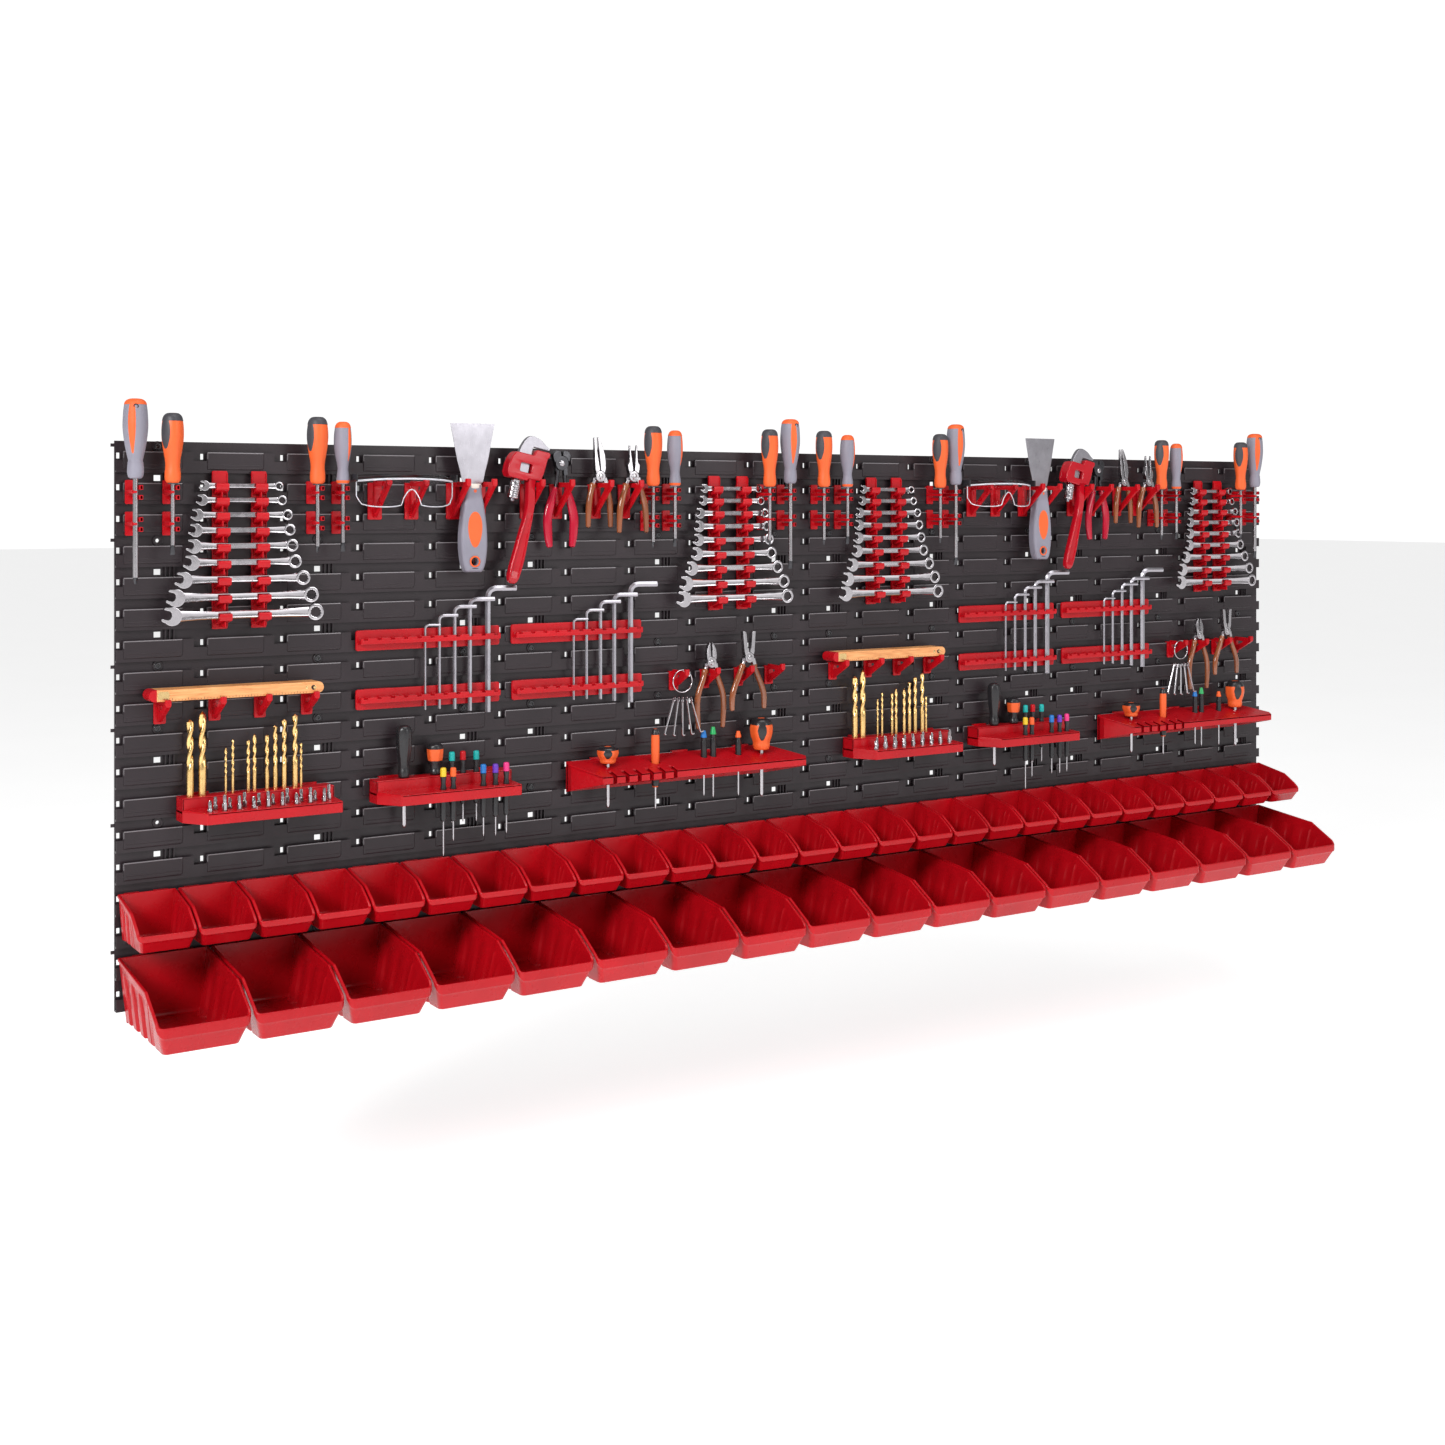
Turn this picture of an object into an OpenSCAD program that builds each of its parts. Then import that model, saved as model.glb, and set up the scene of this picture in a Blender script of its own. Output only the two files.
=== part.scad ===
// Pegboard tool wall: eight moulded panels with hook rails, red holders and bins
// that hang on the rails, and the hand tools that they hold.
// Millimetres. X runs along the wall, -Y is the front, +Z is up. The origin is the
// centre of the wall's back plane.

/* [Wall panels] */
// Width of one panel
panel_w = 576; // [570:1:582]
// Height of one panel
panel_h = 390; // [387:0.5:393]
// Thickness of the panel's base sheet
sheet_t = 4; // [3:0.5:5]
// How far a rail's face stands out from the wall
rail_d = 12; // [11:0.5:12]
// Thickness of a rail's face
face_t = 2.5; // [2:0.25:3]
// Height of the open band above each rail
band_h = 14.3; // [13:0.1:16]

/* [Bins] */
// Outer width of a small bin
small_bin_w = 80; // [70:1:81]
// Depth of a small bin from the wall
small_bin_d = 116; // [100:1:125]
// Outer width of a large bin
large_bin_w = 125; // [110:1:127]
// Depth of a large bin from the wall
large_bin_d = 205; // [180:1:220]
// Wall thickness of a bin
bin_t = 2.2; // [1.8:0.1:3]

/* [Holders] */
// Width of a tool hook's arm
arm_w = 6; // [5:0.5:7]
// How far a large tool hook reaches
hook_reach = 72; // [65:1:76]
// Thickness of shelf and holder plates
plate_t = 3; // [2.5:0.1:3.5]

/* [Tools] */
// Lengths of the nine combination wrenches
wrench_lengths = [120, 129, 145, 152, 159, 168, 192, 216, 229];
// Sizes of the hex keys across the flats
hex_sizes = [3, 4, 5, 6, 8];
// Radius of a plier rivet
rivet_r = 3; // [2.5:0.1:3.5]
// Running clearance between a pin and its bore
running_gap = 0.05; // [0.02:0.01:0.1]

/* [Hidden] */
$fn = 48;
columns = 4;
rails = 9;
pitch = panel_h / rails;
rail_h = pitch - band_h;
wall_w = columns * panel_w;
wall_h = 2 * panel_h;
half_w = wall_w / 2;
notches = 5;
notch_pitch = panel_w / notches;
// Front of the rails, where every holder's back plate starts
front = rail_d + 0.3;
eps = 0.01;
// Gap under the hooks of the bins that lift off
seat_gap = 0.05;

red = "#c8101c";
dark = "#2a272b";
steel = "#c9cbce";

// ---- placing -------------------------------------------------------------

// Height of the top edge of rail n, counted from 0 at the top of the wall
function rail_top(n) = wall_h - band_h - n * pitch;

// Moves to a place given from the wall's lower left corner
module at(x, z) translate([x - wall_w / 2, 0, z - wall_h / 2]) children();

// Repeats the left half's fittings on the right half
module halves() for (h = [0, 1]) translate([h * half_w, 0, 0]) children();

// Extrudes a shape drawn in X and Z from depth d0 to depth d1 in front of the wall
module facing(d0, d1) translate([0, -d0, 0]) rotate([90, 0, 0]) linear_extrude(d1 - d0) children();

// Extrudes a side view, given as [depth, height] points, along the wall
module side_view(w, points)
    rotate([90, 0, 90]) linear_extrude(w, center = true)
        polygon([for (p = points) [-p[0], p[1]]]);

// A strip in X and Z along a centre line, with a width at each point
module strip(line, widths) {
    n = len(line) - 1;
    polygon(concat(
        [for (i = [0:n]) [line[i][0] - widths[i] / 2, line[i][1]]],
        [for (i = [n:-1:0]) [line[i][0] + widths[i] / 2, line[i][1]]]));
}

// The hook that drops behind a rail's face, from z at the rail's top edge
module rail_hook(w, drop = 8)
    side_view(w, [[front, -drop], [front, 2.2], [rail_d - face_t - 2.6, 2.2],
                  [rail_d - face_t - 2.6, -drop], [rail_d - face_t - 0.4, -drop],
                  [rail_d - face_t - 0.4, 0.2], [front - 0.1, 0.2], [front - 0.1, -drop]]);

// ---- wall panels and screws ------------------------------------------------

screw_x = [0.5 * notch_pitch, 2.5 * notch_pitch, 4.5 * notch_pitch];
screw_rails = [0, 3, 7];
slot_rails = [1, 4, 6];
// Height of a peg's lower side above the rail below it
peg_z = 6;
function panel_rail(n) = panel_h - band_h - n * pitch;

module rail_profile() {
    square([sheet_t, panel_h]);
    for (n = [0:rails - 1]) translate([0, panel_rail(n) - rail_h]) {
        square([rail_d, face_t]);
        translate([rail_d - face_t, 0]) square([face_t, rail_h]);
    }
}

module panel(column, row) color(dark)
    translate([column * panel_w - wall_w / 2, 0, row * panel_h - wall_h / 2]) {
        difference() {
            mirror([0, 1, 0]) rotate([90, 0, 90]) linear_extrude(panel_w) rail_profile();
            for (n = [0:rails - 1], c = [0:notches])
                translate([c * notch_pitch, 0, panel_rail(n)]) {
                    // Notch in the rail's face, beside it the see-through slot
                    translate([-9, -rail_d - 1, -12]) cube([18, face_t + 1.5, 13]);
                    translate([2, -sheet_t - 1, -10]) cube([5, sheet_t + 2, 8]);
                }
            for (x = screw_x, n = screw_rails)
                translate([x, 1, panel_rail(n) + band_h / 2]) rotate([90, 0, 0])
                    cylinder(r = 2.75, h = sheet_t + 2);
            for (x = screw_x, n = slot_rails)
                translate([x - 5, -sheet_t - 1, panel_rail(n) + 3])
                    cube([10, sheet_t + 2, 8]);
            // Sockets that take the next panel's pegs
            for (n = screw_rails)
                translate([panel_w - 5.4, -3.2, panel_rail(n) + peg_z - 0.2]) cube([6, 2.4, 4.9]);
        }
        // Pegs on the left edge
        for (n = screw_rails)
            translate([-5, -3, panel_rail(n) + peg_z]) cube([5 + eps, 2, 4.5]);
    }

// The outermost holes beside rail 3 of each row stay open for the wall's own bolts
bolt_rail = 3;
function is_bolt_hole(x, n) = n == bolt_rail && abs(x - half_w) > half_w - notch_pitch;

module wall_screws() color("#38363a")
    for (column = [0:columns - 1], row = [0, 1], x = screw_x, n = screw_rails)
        if (!is_bolt_hole(column * panel_w + x, n))
            at(column * panel_w + x, row * panel_h + panel_rail(n) + band_h / 2)
            rotate([90, 0, 0]) {
                cylinder(r = 2.5, h = sheet_t + eps);
                translate([0, 0, sheet_t]) difference() {
                    cylinder(r = 5.2, h = 2.6);
                    translate([0, 0, 1.2]) cylinder(r = 2.2, h = 2, $fn = 6);
                }
            }

// ---- bins --------------------------------------------------------------------

// A tapered open-front bin; z is 0 at the rail's top edge that it hangs on
module bin(w, foot_w, d, h, break_d, break_z, lip_z, foot_d) {
    top = 2.2;
    bottom = top - h;
    outer = [[front, bottom + 3], [front, top], [break_d, break_z], [d - 4, lip_z + 3],
             [d, lip_z], [foot_d, bottom]];
    inner = [[front + bin_t, bottom + 3 + bin_t], [front + bin_t, top + 5], [d + 20, top + 5],
             [d + 20, lip_z - 3], [d - bin_t - 1, lip_z - 3], [foot_d - bin_t, bottom + bin_t]];
    difference() {
        intersection() {
            side_view(w, outer);
            facing(0, d + 1) polygon([[-foot_w / 2, bottom - 1], [foot_w / 2, bottom - 1],
                                      [w / 2, top - 4], [w / 2, top + 1],
                                      [-w / 2, top + 1], [-w / 2, top - 4]]);
        }
        intersection() {
            side_view(w, inner);
            facing(0, d + 1) polygon([[-foot_w / 2 + bin_t, bottom - 1],
                                      [foot_w / 2 - bin_t, bottom - 1],
                                      [w / 2 - bin_t, top - 4], [w / 2 - bin_t, top + 9],
                                      [-w / 2 + bin_t, top + 9], [-w / 2 + bin_t, top - 4]]);
        }
    }
    for (s = [-1, 1]) translate([s * w / 4, 0, 0])
        side_view(20, [[front + bin_t / 2, 0], [front + bin_t / 2, top],
                       [rail_d - face_t - 2.4, top], [rail_d - face_t - 2.4, -8],
                       [rail_d - face_t - 0.4, -8], [rail_d - face_t - 0.4, 0]]);
}

small_bins = 28;
large_bins = 18;
free_bins = 3;
small_rail = 14;
large_rail = 16;

module small_bin(i) color(red) at((i + 0.5) * wall_w / small_bins, rail_top(small_rail) + seat_gap)
    bin(small_bin_w, small_bin_w - 14, small_bin_d, 63, 82, -13, -36, small_bin_d - 11);
module large_bin(i) color(red) at((i + 0.5) * wall_w / large_bins, rail_top(large_rail) + seat_gap)
    bin(large_bin_w, large_bin_w - 24, large_bin_d, 90, 150, -15, -49, large_bin_d - 14);

module small_bin_row() for (i = [free_bins:small_bins - 1]) small_bin(i);
module large_bin_row() for (i = [free_bins:large_bins - 1]) large_bin(i);

// ---- screwdrivers and their clips ----------------------------------------------

// Sorts of screwdriver: handle top, handle foot, tip, handle radius, shaft radius
large_driver = [836, 728, 585, 17, 3.5];
orange_driver = [818, 722, 624, 15, 3];
slim_driver = [812, 722, 625, 13, 3];
drivers = [
    [17, large_driver], [67, orange_driver], [273, orange_driver], [311, slim_driver],
    [831, orange_driver], [872, slim_driver], [1057, orange_driver], [1099, large_driver],
    [1169, orange_driver], [1219, slim_driver], [1425, orange_driver], [1461, large_driver],
    [1983, orange_driver], [2024, slim_driver], [2209, orange_driver], [2251, large_driver]];
driver_depth = 45;
tang = 25;

module screwdriver_handles() color("#e8622c") for (d = drivers) {
    kind = d[1];
    h = kind[0] - kind[1];
    r = kind[3];
    at(d[0], kind[1]) translate([0, -driver_depth, 0]) difference() {
        rotate_extrude() polygon([[0, 0], [0.62 * r, 0], [0.66 * r, 0.1 * h], [0.56 * r, 0.22 * h],
            [0.82 * r, 0.42 * h], [r, 0.62 * h], [r, 0.78 * h], [0.86 * r, 0.93 * h],
            [0.55 * r, h], [0, h]]);
        translate([0, 0, -1]) cylinder(r = kind[4], h = tang + 1);
    }
}

module screwdriver_shafts() color(steel) for (d = drivers) {
    kind = d[1];
    at(d[0], kind[2]) translate([0, -driver_depth, 0]) {
        translate([0, 0, 10]) cylinder(r = kind[4], h = kind[1] - kind[2] + tang - 10);
        translate([-kind[4], -0.7, 0]) cube([2 * kind[4], 1.4, 10 + eps]);
    }
}

// Prongs as [side, height of the lower edge, height]; the left one ends in a catch
three_prongs = [[1, -9.5, 6], [1, -23, 6], [-1, -15, 4.8]];
// Between the rings of two wrenches there is room for a flat pair only
flat_prongs = [[1, -13, 4], [-1, -13, 4]];
beside_racks = [1057, 2209];
prong_w = 5;
left_prong_w = 2;
prong_d = driver_depth + 5;

module clip(shaft_r, prongs) {
    inner = shaft_r + 0.4;
    translate([(prong_w - left_prong_w) / 2, 0, 0])
        side_view(2 * inner + prong_w + left_prong_w,
            [[front, -29], [front, 4], [front + plate_t, 4], [front + plate_t, -29]]);
    rail_hook(8);
    for (p = prongs) {
        wide = p[0] > 0 ? prong_w : left_prong_w;
        facing(front + plate_t - eps, prong_d)
            translate([p[0] > 0 ? inner : -inner - wide, p[1]]) square([wide, p[2]]);
        if (p[0] < 0)
            facing(prong_d - 1.2, prong_d)
                translate([-inner - eps, p[1] + 0.8]) square([inner + 1, p[2] - 1.6]);
    }
}

module screwdriver_clips() color(red) for (d = drivers, n = [1, 2])
    at(d[0], rail_top(n))
        clip(d[1][4], n == 2 && len(search(d[0], beside_racks)) > 0 ? flat_prongs : three_prongs);

// ---- wrench racks and combination wrenches ---------------------------------------

rack_centres = [169.5, 994];
rack_spread = 56;
wrench_count = len(wrench_lengths);
function wrench_z(i) = 719 - 19.6 * i - 0.36 * i * i;
function wrench_depth(i) = 24 + 1.8 * i;
function wrench_bar(i) = 7 + 0.45 * i;
wrench_t = 5;

module rack_strip() {
    bottom = 518;
    top = 740;
    mid = rail_top(1);
    side_view(22, [[front, bottom], [front, top], [front + plate_t, top], [front + plate_t, bottom]]);
    translate([0, 0, mid]) rail_hook(16);
    for (i = [0:wrench_count - 1]) {
        floor_z = wrench_z(i) - wrench_bar(i) / 2 - 0.1;
        lip = wrench_depth(i) + wrench_t / 2 + 0.4;
        side_view(18, [[front + plate_t - eps, floor_z - 9], [front + plate_t - eps, floor_z],
                       [lip, floor_z], [lip + 1, floor_z + 7], [lip + 4, floor_z + 7],
                       [lip + 4, floor_z - 4]]);
    }
}

module wrench_racks() color(red) halves() for (x = rack_centres, s = [-0.5, 0.5])
    at(x + s * rack_spread, 0) rack_strip();

module wrench(i) {
    length = wrench_lengths[i];
    open_r = 7.3 + 0.72 * i;
    ring_r = 6.6 + 0.68 * i;
    bar = wrench_bar(i);
    facing(wrench_depth(i) - wrench_t / 2, wrench_depth(i) + wrench_t / 2) difference() {
        union() {
            translate([open_r - length / 2, 0]) circle(r = open_r);
            translate([length / 2 - ring_r, 0]) circle(r = ring_r);
            translate([open_r - length / 2, -bar / 2]) square([length - open_r - ring_r, bar]);
        }
        translate([-length / 2, 0]) rotate(-15)
            translate([-open_r, -0.5 * open_r]) square([1.9 * open_r, open_r]);
        translate([length / 2 - ring_r, 0]) circle(r = 0.62 * ring_r, $fn = 12);
    }
}

module combination_wrenches() color(steel) halves()
    for (x = rack_centres, i = [0:wrench_count - 1]) at(x, wrench_z(i)) wrench(i);

// ---- hooks -----------------------------------------------------------------------

hook_places = [372, 430, 497, 540, 621, 672, 741, 795];
small_hook_places = [58, 134, 199, 268, 888, 948, 1015, 1076];
hook_rail = 1;
small_hook_rail = 8;

// A triangular hook; z is 0 at the rail's top edge
module hook(base_w, reach, foot, knob) {
    side_view(base_w, [[front, foot], [front, 2.2], [front + plate_t, 2.2], [front + plate_t, foot]]);
    rail_hook(base_w - 4);
    rotate([90, 0, 90]) linear_extrude(arm_w, center = true) difference() {
        polygon([[-front - plate_t + eps, 5], [-reach + 8, 4], [-reach + 6, 4 + knob],
                 [-reach, 4 + knob], [-reach, -3], [-front - plate_t + eps, foot + 3]]);
        polygon([[-front - plate_t - 4, -3], [-reach + 16, -3], [-front - plate_t - 4, foot + 18]]);
    }
}

module tool_hooks() color(red) halves() for (x = hook_places)
    at(x, rail_top(hook_rail)) hook(22, hook_reach, -52, 5);
module small_hooks() color(red) halves() for (x = small_hook_places)
    at(x, rail_top(small_hook_rail)) hook(17, 58, -29, 4);

// ---- hex keys and their comb rails --------------------------------------------------

hex_rails = [[458, 6], [710, 6], [458, 8], [711, 8]];
hex_rail_w = 232;
hex_depth = 21;
// First key's place in each group and the places of the others from it
hex_groups = [449, 700];
hex_steps = [0, 23, 48, 73, 103];
hex_tops = [514, 528, 541, 552, 569];
hex_feet = [386, 386, 384, 380, 376];
hex_arms = [23, 28, 33, 38, 44];
// The short arms point a little forward, past the next key
hex_turn = 20;

module comb_rail() {
    side_view(hex_rail_w, [[front, -28], [front, 2.2], [front + 4, 2.2], [front + 4, -28]]);
    for (s = [-1, 1]) translate([s * 80, 0, 0]) rail_hook(40);
    difference() {
        side_view(hex_rail_w, [[front + 4 - eps, -18], [front + 4 - eps, -9], [28, -10], [28, -18]]);
        for (i = [0:10]) translate([(i - 5) * 21, -28.5, -12]) cube([4, 4, 6], center = true);
    }
}

module hex_key(i, clearance) {
    size = hex_sizes[i] + clearance;
    length = hex_tops[i] - hex_feet[i];
    translate([0, 0, hex_feet[i]]) cylinder(d = size / cos(30), h = length, $fn = 6);
    translate([0, 0, hex_tops[i] - size / 2]) rotate([0, 0, -hex_turn]) rotate([0, 90, 0])
        cylinder(d = size / cos(30), h = hex_arms[i], $fn = 6);
}

module hex_places(clearance = 0) for (g = hex_groups, i = [0:len(hex_sizes) - 1])
    at(g + hex_steps[i], 0) translate([0, -hex_depth, 0]) hex_key(i, clearance);

module hex_key_rails() color(red) halves() difference() {
    for (r = hex_rails) at(r[0], rail_top(r[1])) comb_rail();
    hex_places(0.6);
}
module hex_keys() color(steel) halves() hex_places();

// ---- stepped shelves ----------------------------------------------------------------

// A hollow shelf: side views and plans of the outside and of the hollow below
module shelf(w, outside, plan, hollow, hollow_plan) difference() {
    intersection() {
        side_view(w, outside);
        translate([0, 0, -100]) linear_extrude(200) polygon([for (p = plan) [p[0], -p[1]]]);
    }
    intersection() {
        side_view(w, hollow);
        translate([0, 0, -100]) linear_extrude(200) polygon([for (p = hollow_plan) [p[0], -p[1]]]);
    }
}

shelf_rail = 11;
shelf_d = 78;
tier_d = 42;
drill_shelf_x = 190;
drill_shelf_w = 218;
driver_shelf_x = 473;
driver_shelf_w = 218;

// Two tiers, with the left front corner cut off
module stepped_shelf(w) {
    corner = 24;
    shelf(w + 1,
        [[front, -34], [front, 0], [tier_d, 0], [tier_d, -16], [shelf_d, -18],
         [shelf_d, -34], [front, -34]],
        [[-w / 2, 0], [-w / 2, tier_d], [-w / 2 + corner, shelf_d], [w / 2, shelf_d], [w / 2, 0]],
        [[front + plate_t, -40], [front + plate_t, -plate_t], [tier_d - plate_t, -plate_t],
         [tier_d - plate_t, -16 - plate_t], [shelf_d - plate_t, -18 - plate_t],
         [shelf_d - plate_t, -40]],
        [[-w / 2 + plate_t, 0], [-w / 2 + plate_t, tier_d - 1],
         [-w / 2 + corner + 2, shelf_d - plate_t], [w / 2 - plate_t, shelf_d - plate_t],
         [w / 2 - plate_t, 0]]);
    for (s = [-1, 1]) translate([s * w * 0.36, 0, 0]) rail_hook(30);
}

// Twist drills: place, height above the shelf, diameter
drills = [[96, 106, 10], [113, 116, 11], [146, 64, 3.5], [156, 74, 4], [178, 72, 5],
          [187, 80, 5.5], [205, 78, 6], [217, 90, 6.5], [230, 98, 7], [246, 104, 8], [255, 62, 4]];
drill_depth = 27;
bit_count = 18;
bit_depth = 61;

module drills_at_places(extra = 0) for (d = drills)
    at(d[0], rail_top(shelf_rail) - 30) translate([0, -drill_depth, 0])
        cylinder(d = d[2] + extra, h = d[1] + 30);
module bits_at_places(extra = 0) for (i = [0:bit_count - 1])
    at(112 + 10.2 * i, rail_top(shelf_rail) - 28)
        translate([0, -bit_depth - (i % 2 == 0 ? 5 : -5), 0]) cylinder(d = 7 + extra, h = 26 + (i % 3) * 3);

module drill_shelves() color(red) halves() difference() {
    at(drill_shelf_x, rail_top(shelf_rail)) stepped_shelf(drill_shelf_w);
    drills_at_places(0.6);
    bits_at_places(0.6);
}
module drill_bits() color("#c9a45c") halves() drills_at_places();
module screw_bits() color(steel) halves() bits_at_places();

// Precision drivers: place, depth, top of the cap, shaft; the front row stands lower
precision = [[460, 62, 304, 51], [476, 62, 303, 29], [525, 62, 304, 28], [545, 62, 303, 28],
             [563, 62, 304, 27], [487, 33, 322, 27], [505, 33, 322, 27], [527, 33, 321, 27]];
precision_r = 4.6;
precision_h = 80;
// Other drivers: place, depth, foot, top, handle radius, tip, shaft radius
shelf_drivers = [
    [410, 33, 289.3, 367, 12, 216, 3.5], [462, 28, 289.3, 336, 12, 252, 3],
    [748, 45, 285.5, 312, 17, 216, 3], [835, 45, 241, 334, 7, 206, 1.6],
    [930, 40, 262, 324, 5, 218, 1.6], [948, 40, 262, 329, 5, 214, 1.6],
    [996, 42, 262, 319, 5, 213, 1.6], [1040, 45, 285.5, 338, 19, 208, 3.5]];

module precision_driver_handles() color("#2d2b2e") halves() for (p = precision)
    at(p[0], p[2] - precision_h) translate([0, -p[1], 0]) {
        cylinder(r = precision_r, h = precision_h - 9);
        translate([0, 0, precision_h - 9 - eps]) cylinder(r1 = precision_r, r2 = precision_r - 1.5, h = 9);
    }
module precision_driver_shafts() color(steel) halves() for (p = precision)
    at(p[0], p[2] - precision_h - p[3]) translate([0, -p[1], 0]) cylinder(r = 1.2, h = p[3]);

module shelf_driver_handles() color("#e8622c") halves() for (d = shelf_drivers) {
    h = d[3] - d[2];
    r = d[4];
    at(d[0], d[2]) translate([0, -d[1], 0]) rotate_extrude()
        polygon([[0, 0], [0.7 * r, 0], [0.8 * r, 0.2 * h], [r, 0.6 * h], [r, 0.85 * h],
                 [0.6 * r, h], [0, h]]);
}
module shelf_driver_shafts() color(steel) halves() for (d = shelf_drivers)
    at(d[0], d[5]) translate([0, -d[1], 0]) cylinder(r = d[6], h = d[2] - d[5]);

module driver_holes() {
    for (p = precision) at(p[0], 200) translate([0, -p[1], 0]) cylinder(r = precision_r + 0.4, h = 120);
    for (d = shelf_drivers) at(d[0], 200) translate([0, -d[1], 0])
        cylinder(r = (d[2] < rail_top(shelf_rail) - 20 ? d[4] : d[6]) + 0.5, h = 120);
}

module driver_shelves() color(red) halves() difference() {
    at(driver_shelf_x, rail_top(shelf_rail)) stepped_shelf(driver_shelf_w);
    driver_holes();
}

tool_shelf_x = 901;
tool_shelf_w = 420;
comb_slots = 6;

module tool_shelf() {
    w = tool_shelf_w;
    corner = 28;
    shelf(w + 1,
        [[front, -48], [front, 0], [shelf_d + 4, -18], [shelf_d + 4, -30], [front + 12, -48]],
        [[-w / 2, 0], [-w / 2, 30], [-w / 2 + corner, shelf_d + 4], [w / 2 - 6, shelf_d + 4],
         [w / 2, shelf_d - 6], [w / 2 - 50, 0]],
        [[front + plate_t, -60], [front + plate_t, -3.5], [shelf_d + 1, -21.5], [shelf_d + 1, -60]],
        [[-w / 2 + plate_t, 0], [-w / 2 + plate_t, 30], [-w / 2 + corner + 2, shelf_d + 1],
         [w / 2 - 8, shelf_d + 1], [w / 2 - 4, shelf_d - 6], [w / 2 - 54, 0]]);
    for (x = [-150, 0, 120]) translate([x, 0, 0]) rail_hook(30);
}

module tool_shelves() color(red) halves() difference() {
    at(tool_shelf_x, rail_top(shelf_rail)) tool_shelf();
    driver_holes();
    // Comb of slots in the front edge
    for (i = [0:comb_slots - 1]) at(737 + i * 22, 240)
        translate([0, -shelf_d - 10, 0]) cube([7, 26, 50]);
}

// ---- folding rule, scraper, safety glasses, key ring ----------------------------------

rule_laths = 10;
module folding_rules() color("#e09a4a") halves() for (i = [0:rule_laths - 1])
    at(157.5, rail_top(small_hook_rail) + 5.2)
        facing(17.5 + i * 3.2, 17.5 + i * 3.2 + 3) difference() {
            union() {
                translate([-115.5, 0]) square([231, 16]);
                for (s = [-1, 1]) translate([s * 115.5, 8]) circle(r = 8);
            }
            translate([108, 8]) circle(r = 2);
        }

scraper_x = 518.5;
scraper_depth = 38;
module scraper_blades() color(steel) halves() at(scraper_x, 0)
    facing(scraper_depth - 0.6, scraper_depth + 0.6)
        strip([[0, 716], [0, 727], [0, 760], [0, 815]], [14, 34, 52, 72]);
module scraper_handles() color("#a39fa9") halves() at(scraper_x, 0) difference() {
    facing(scraper_depth - 10, scraper_depth + 10)
        strip([[0, 591], [0, 605], [0, 640], [0, 690], [0, 708], [0, 724]], [30, 38, 44, 34, 26, 24]);
    facing(scraper_depth - 0.6, scraper_depth + 0.6) strip([[0, 716], [0, 727]], [14, 34]);
    facing(scraper_depth - 11, scraper_depth + 11) translate([0, 607]) circle(r = 6);
}

glasses_x = 402;
glasses_z = 710;
module glasses_lenses() color("#e8eef0", 0.5) halves() at(glasses_x, glasses_z)
    translate([0, -hook_reach - 4, 0]) intersection() {
        linear_extrude(44, center = true) difference() {
            translate([0, 118]) circle(r = 125);
            translate([0, 118]) circle(r = 123);
        }
        translate([-76, -10, -22]) cube([152, 40, 44]);
    }
// The folded temples cross behind the lens and rest on the hooks' arms
module glasses_temples() color("#1d1c1f") halves() at(glasses_x, rail_top(hook_rail) + 12.2)
    for (s = [-1, 1]) {
        translate([s * 78, -hook_reach + 16, -4]) cube([3, 22, 12], center = true);
        translate([0, -hook_reach + 30.5 + s * 2.2, 0]) rotate([0, s * 3, 0])
            cube([146, 2.6, 8], center = true);
    }

module key_rings() color(steel) halves() at(888, rail_top(small_hook_rail) - 12)
    translate([0, -42, 0]) {
        difference() {
            rotate([90, 0, 0]) cylinder(r = 19, h = 2, center = true);
            rotate([90, 0, 0]) cylinder(r = 17, h = 3, center = true);
        }
        for (i = [-2:2]) translate([i * 5, 0, -20]) rotate([0, i * -9, 0])
            translate([0, -2.6 * i, -38]) cylinder(d = 3.4, h = 62, center = true, $fn = 6);
    }

// ---- pliers -----------------------------------------------------------------------------

plier_t = 10;
// Each kind: place, pivot height, web radius, half the resting opening in degrees,
// right jaw outline, handle centre line and handle widths, with the jaws closed, depth
// and how strongly the jaws curve to the left
red_pliers = [672, 757, 11, 6,
    [[0.3, 8], [0.3, 17], [2.5, 20], [9, 19.5], [14, 14], [12, 3]],
    [[5, -4], [4.6, -34], [9.5, -56], [14, -85], [10.5, -112], [6, -131]],
    [9, 8, 13, 15, 14, 10], 31, 0];
curved_pliers = [740, 737, 8.5, 2,
    [[0.3, 6], [0.3, 30], [0.3, 46], [0.3, 62], [2.5, 61], [6, 46], [8, 34], [9, 12], [7, 4]],
    [[7, -3], [12.5, -18], [17.3, -45], [17.2, -80]], [8, 9, 10, 8], 32, 0.0037];
needle_pliers = [794, 737, 8.5, 6,
    [[0.3, 6], [0.3, 50], [2.5, 50], [5, 24], [9, 18], [7, 4]],
    [[7, -3], [11.5, -20], [17.5, -50], [15.5, -90]], [8, 9, 10, 8], 44, 0];
cutter_pliers = [947.5, 434, 8.5, 3,
    [[0.3, 6], [0.3, 32], [2, 32], [8, 22], [9, 8], [7, 2]],
    [[7, -3], [12, -24], [22, -60], [18, -108]], [8, 9, 10, 8], 33, 0];
stripper_pliers = [1014, 440, 8.5, 5,
    [[0.3, 6], [0.3, 14], [2, 16], [2, 40], [4, 44], [9, 44], [9, 10], [7, 2]],
    [[7, -3], [13, -24], [25, -60], [24, -88]], [8, 9, 10, 8], 44.5, 0];
plier_kinds = [red_pliers, curved_pliers, needle_pliers, cutter_pliers, stripper_pliers];

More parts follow.
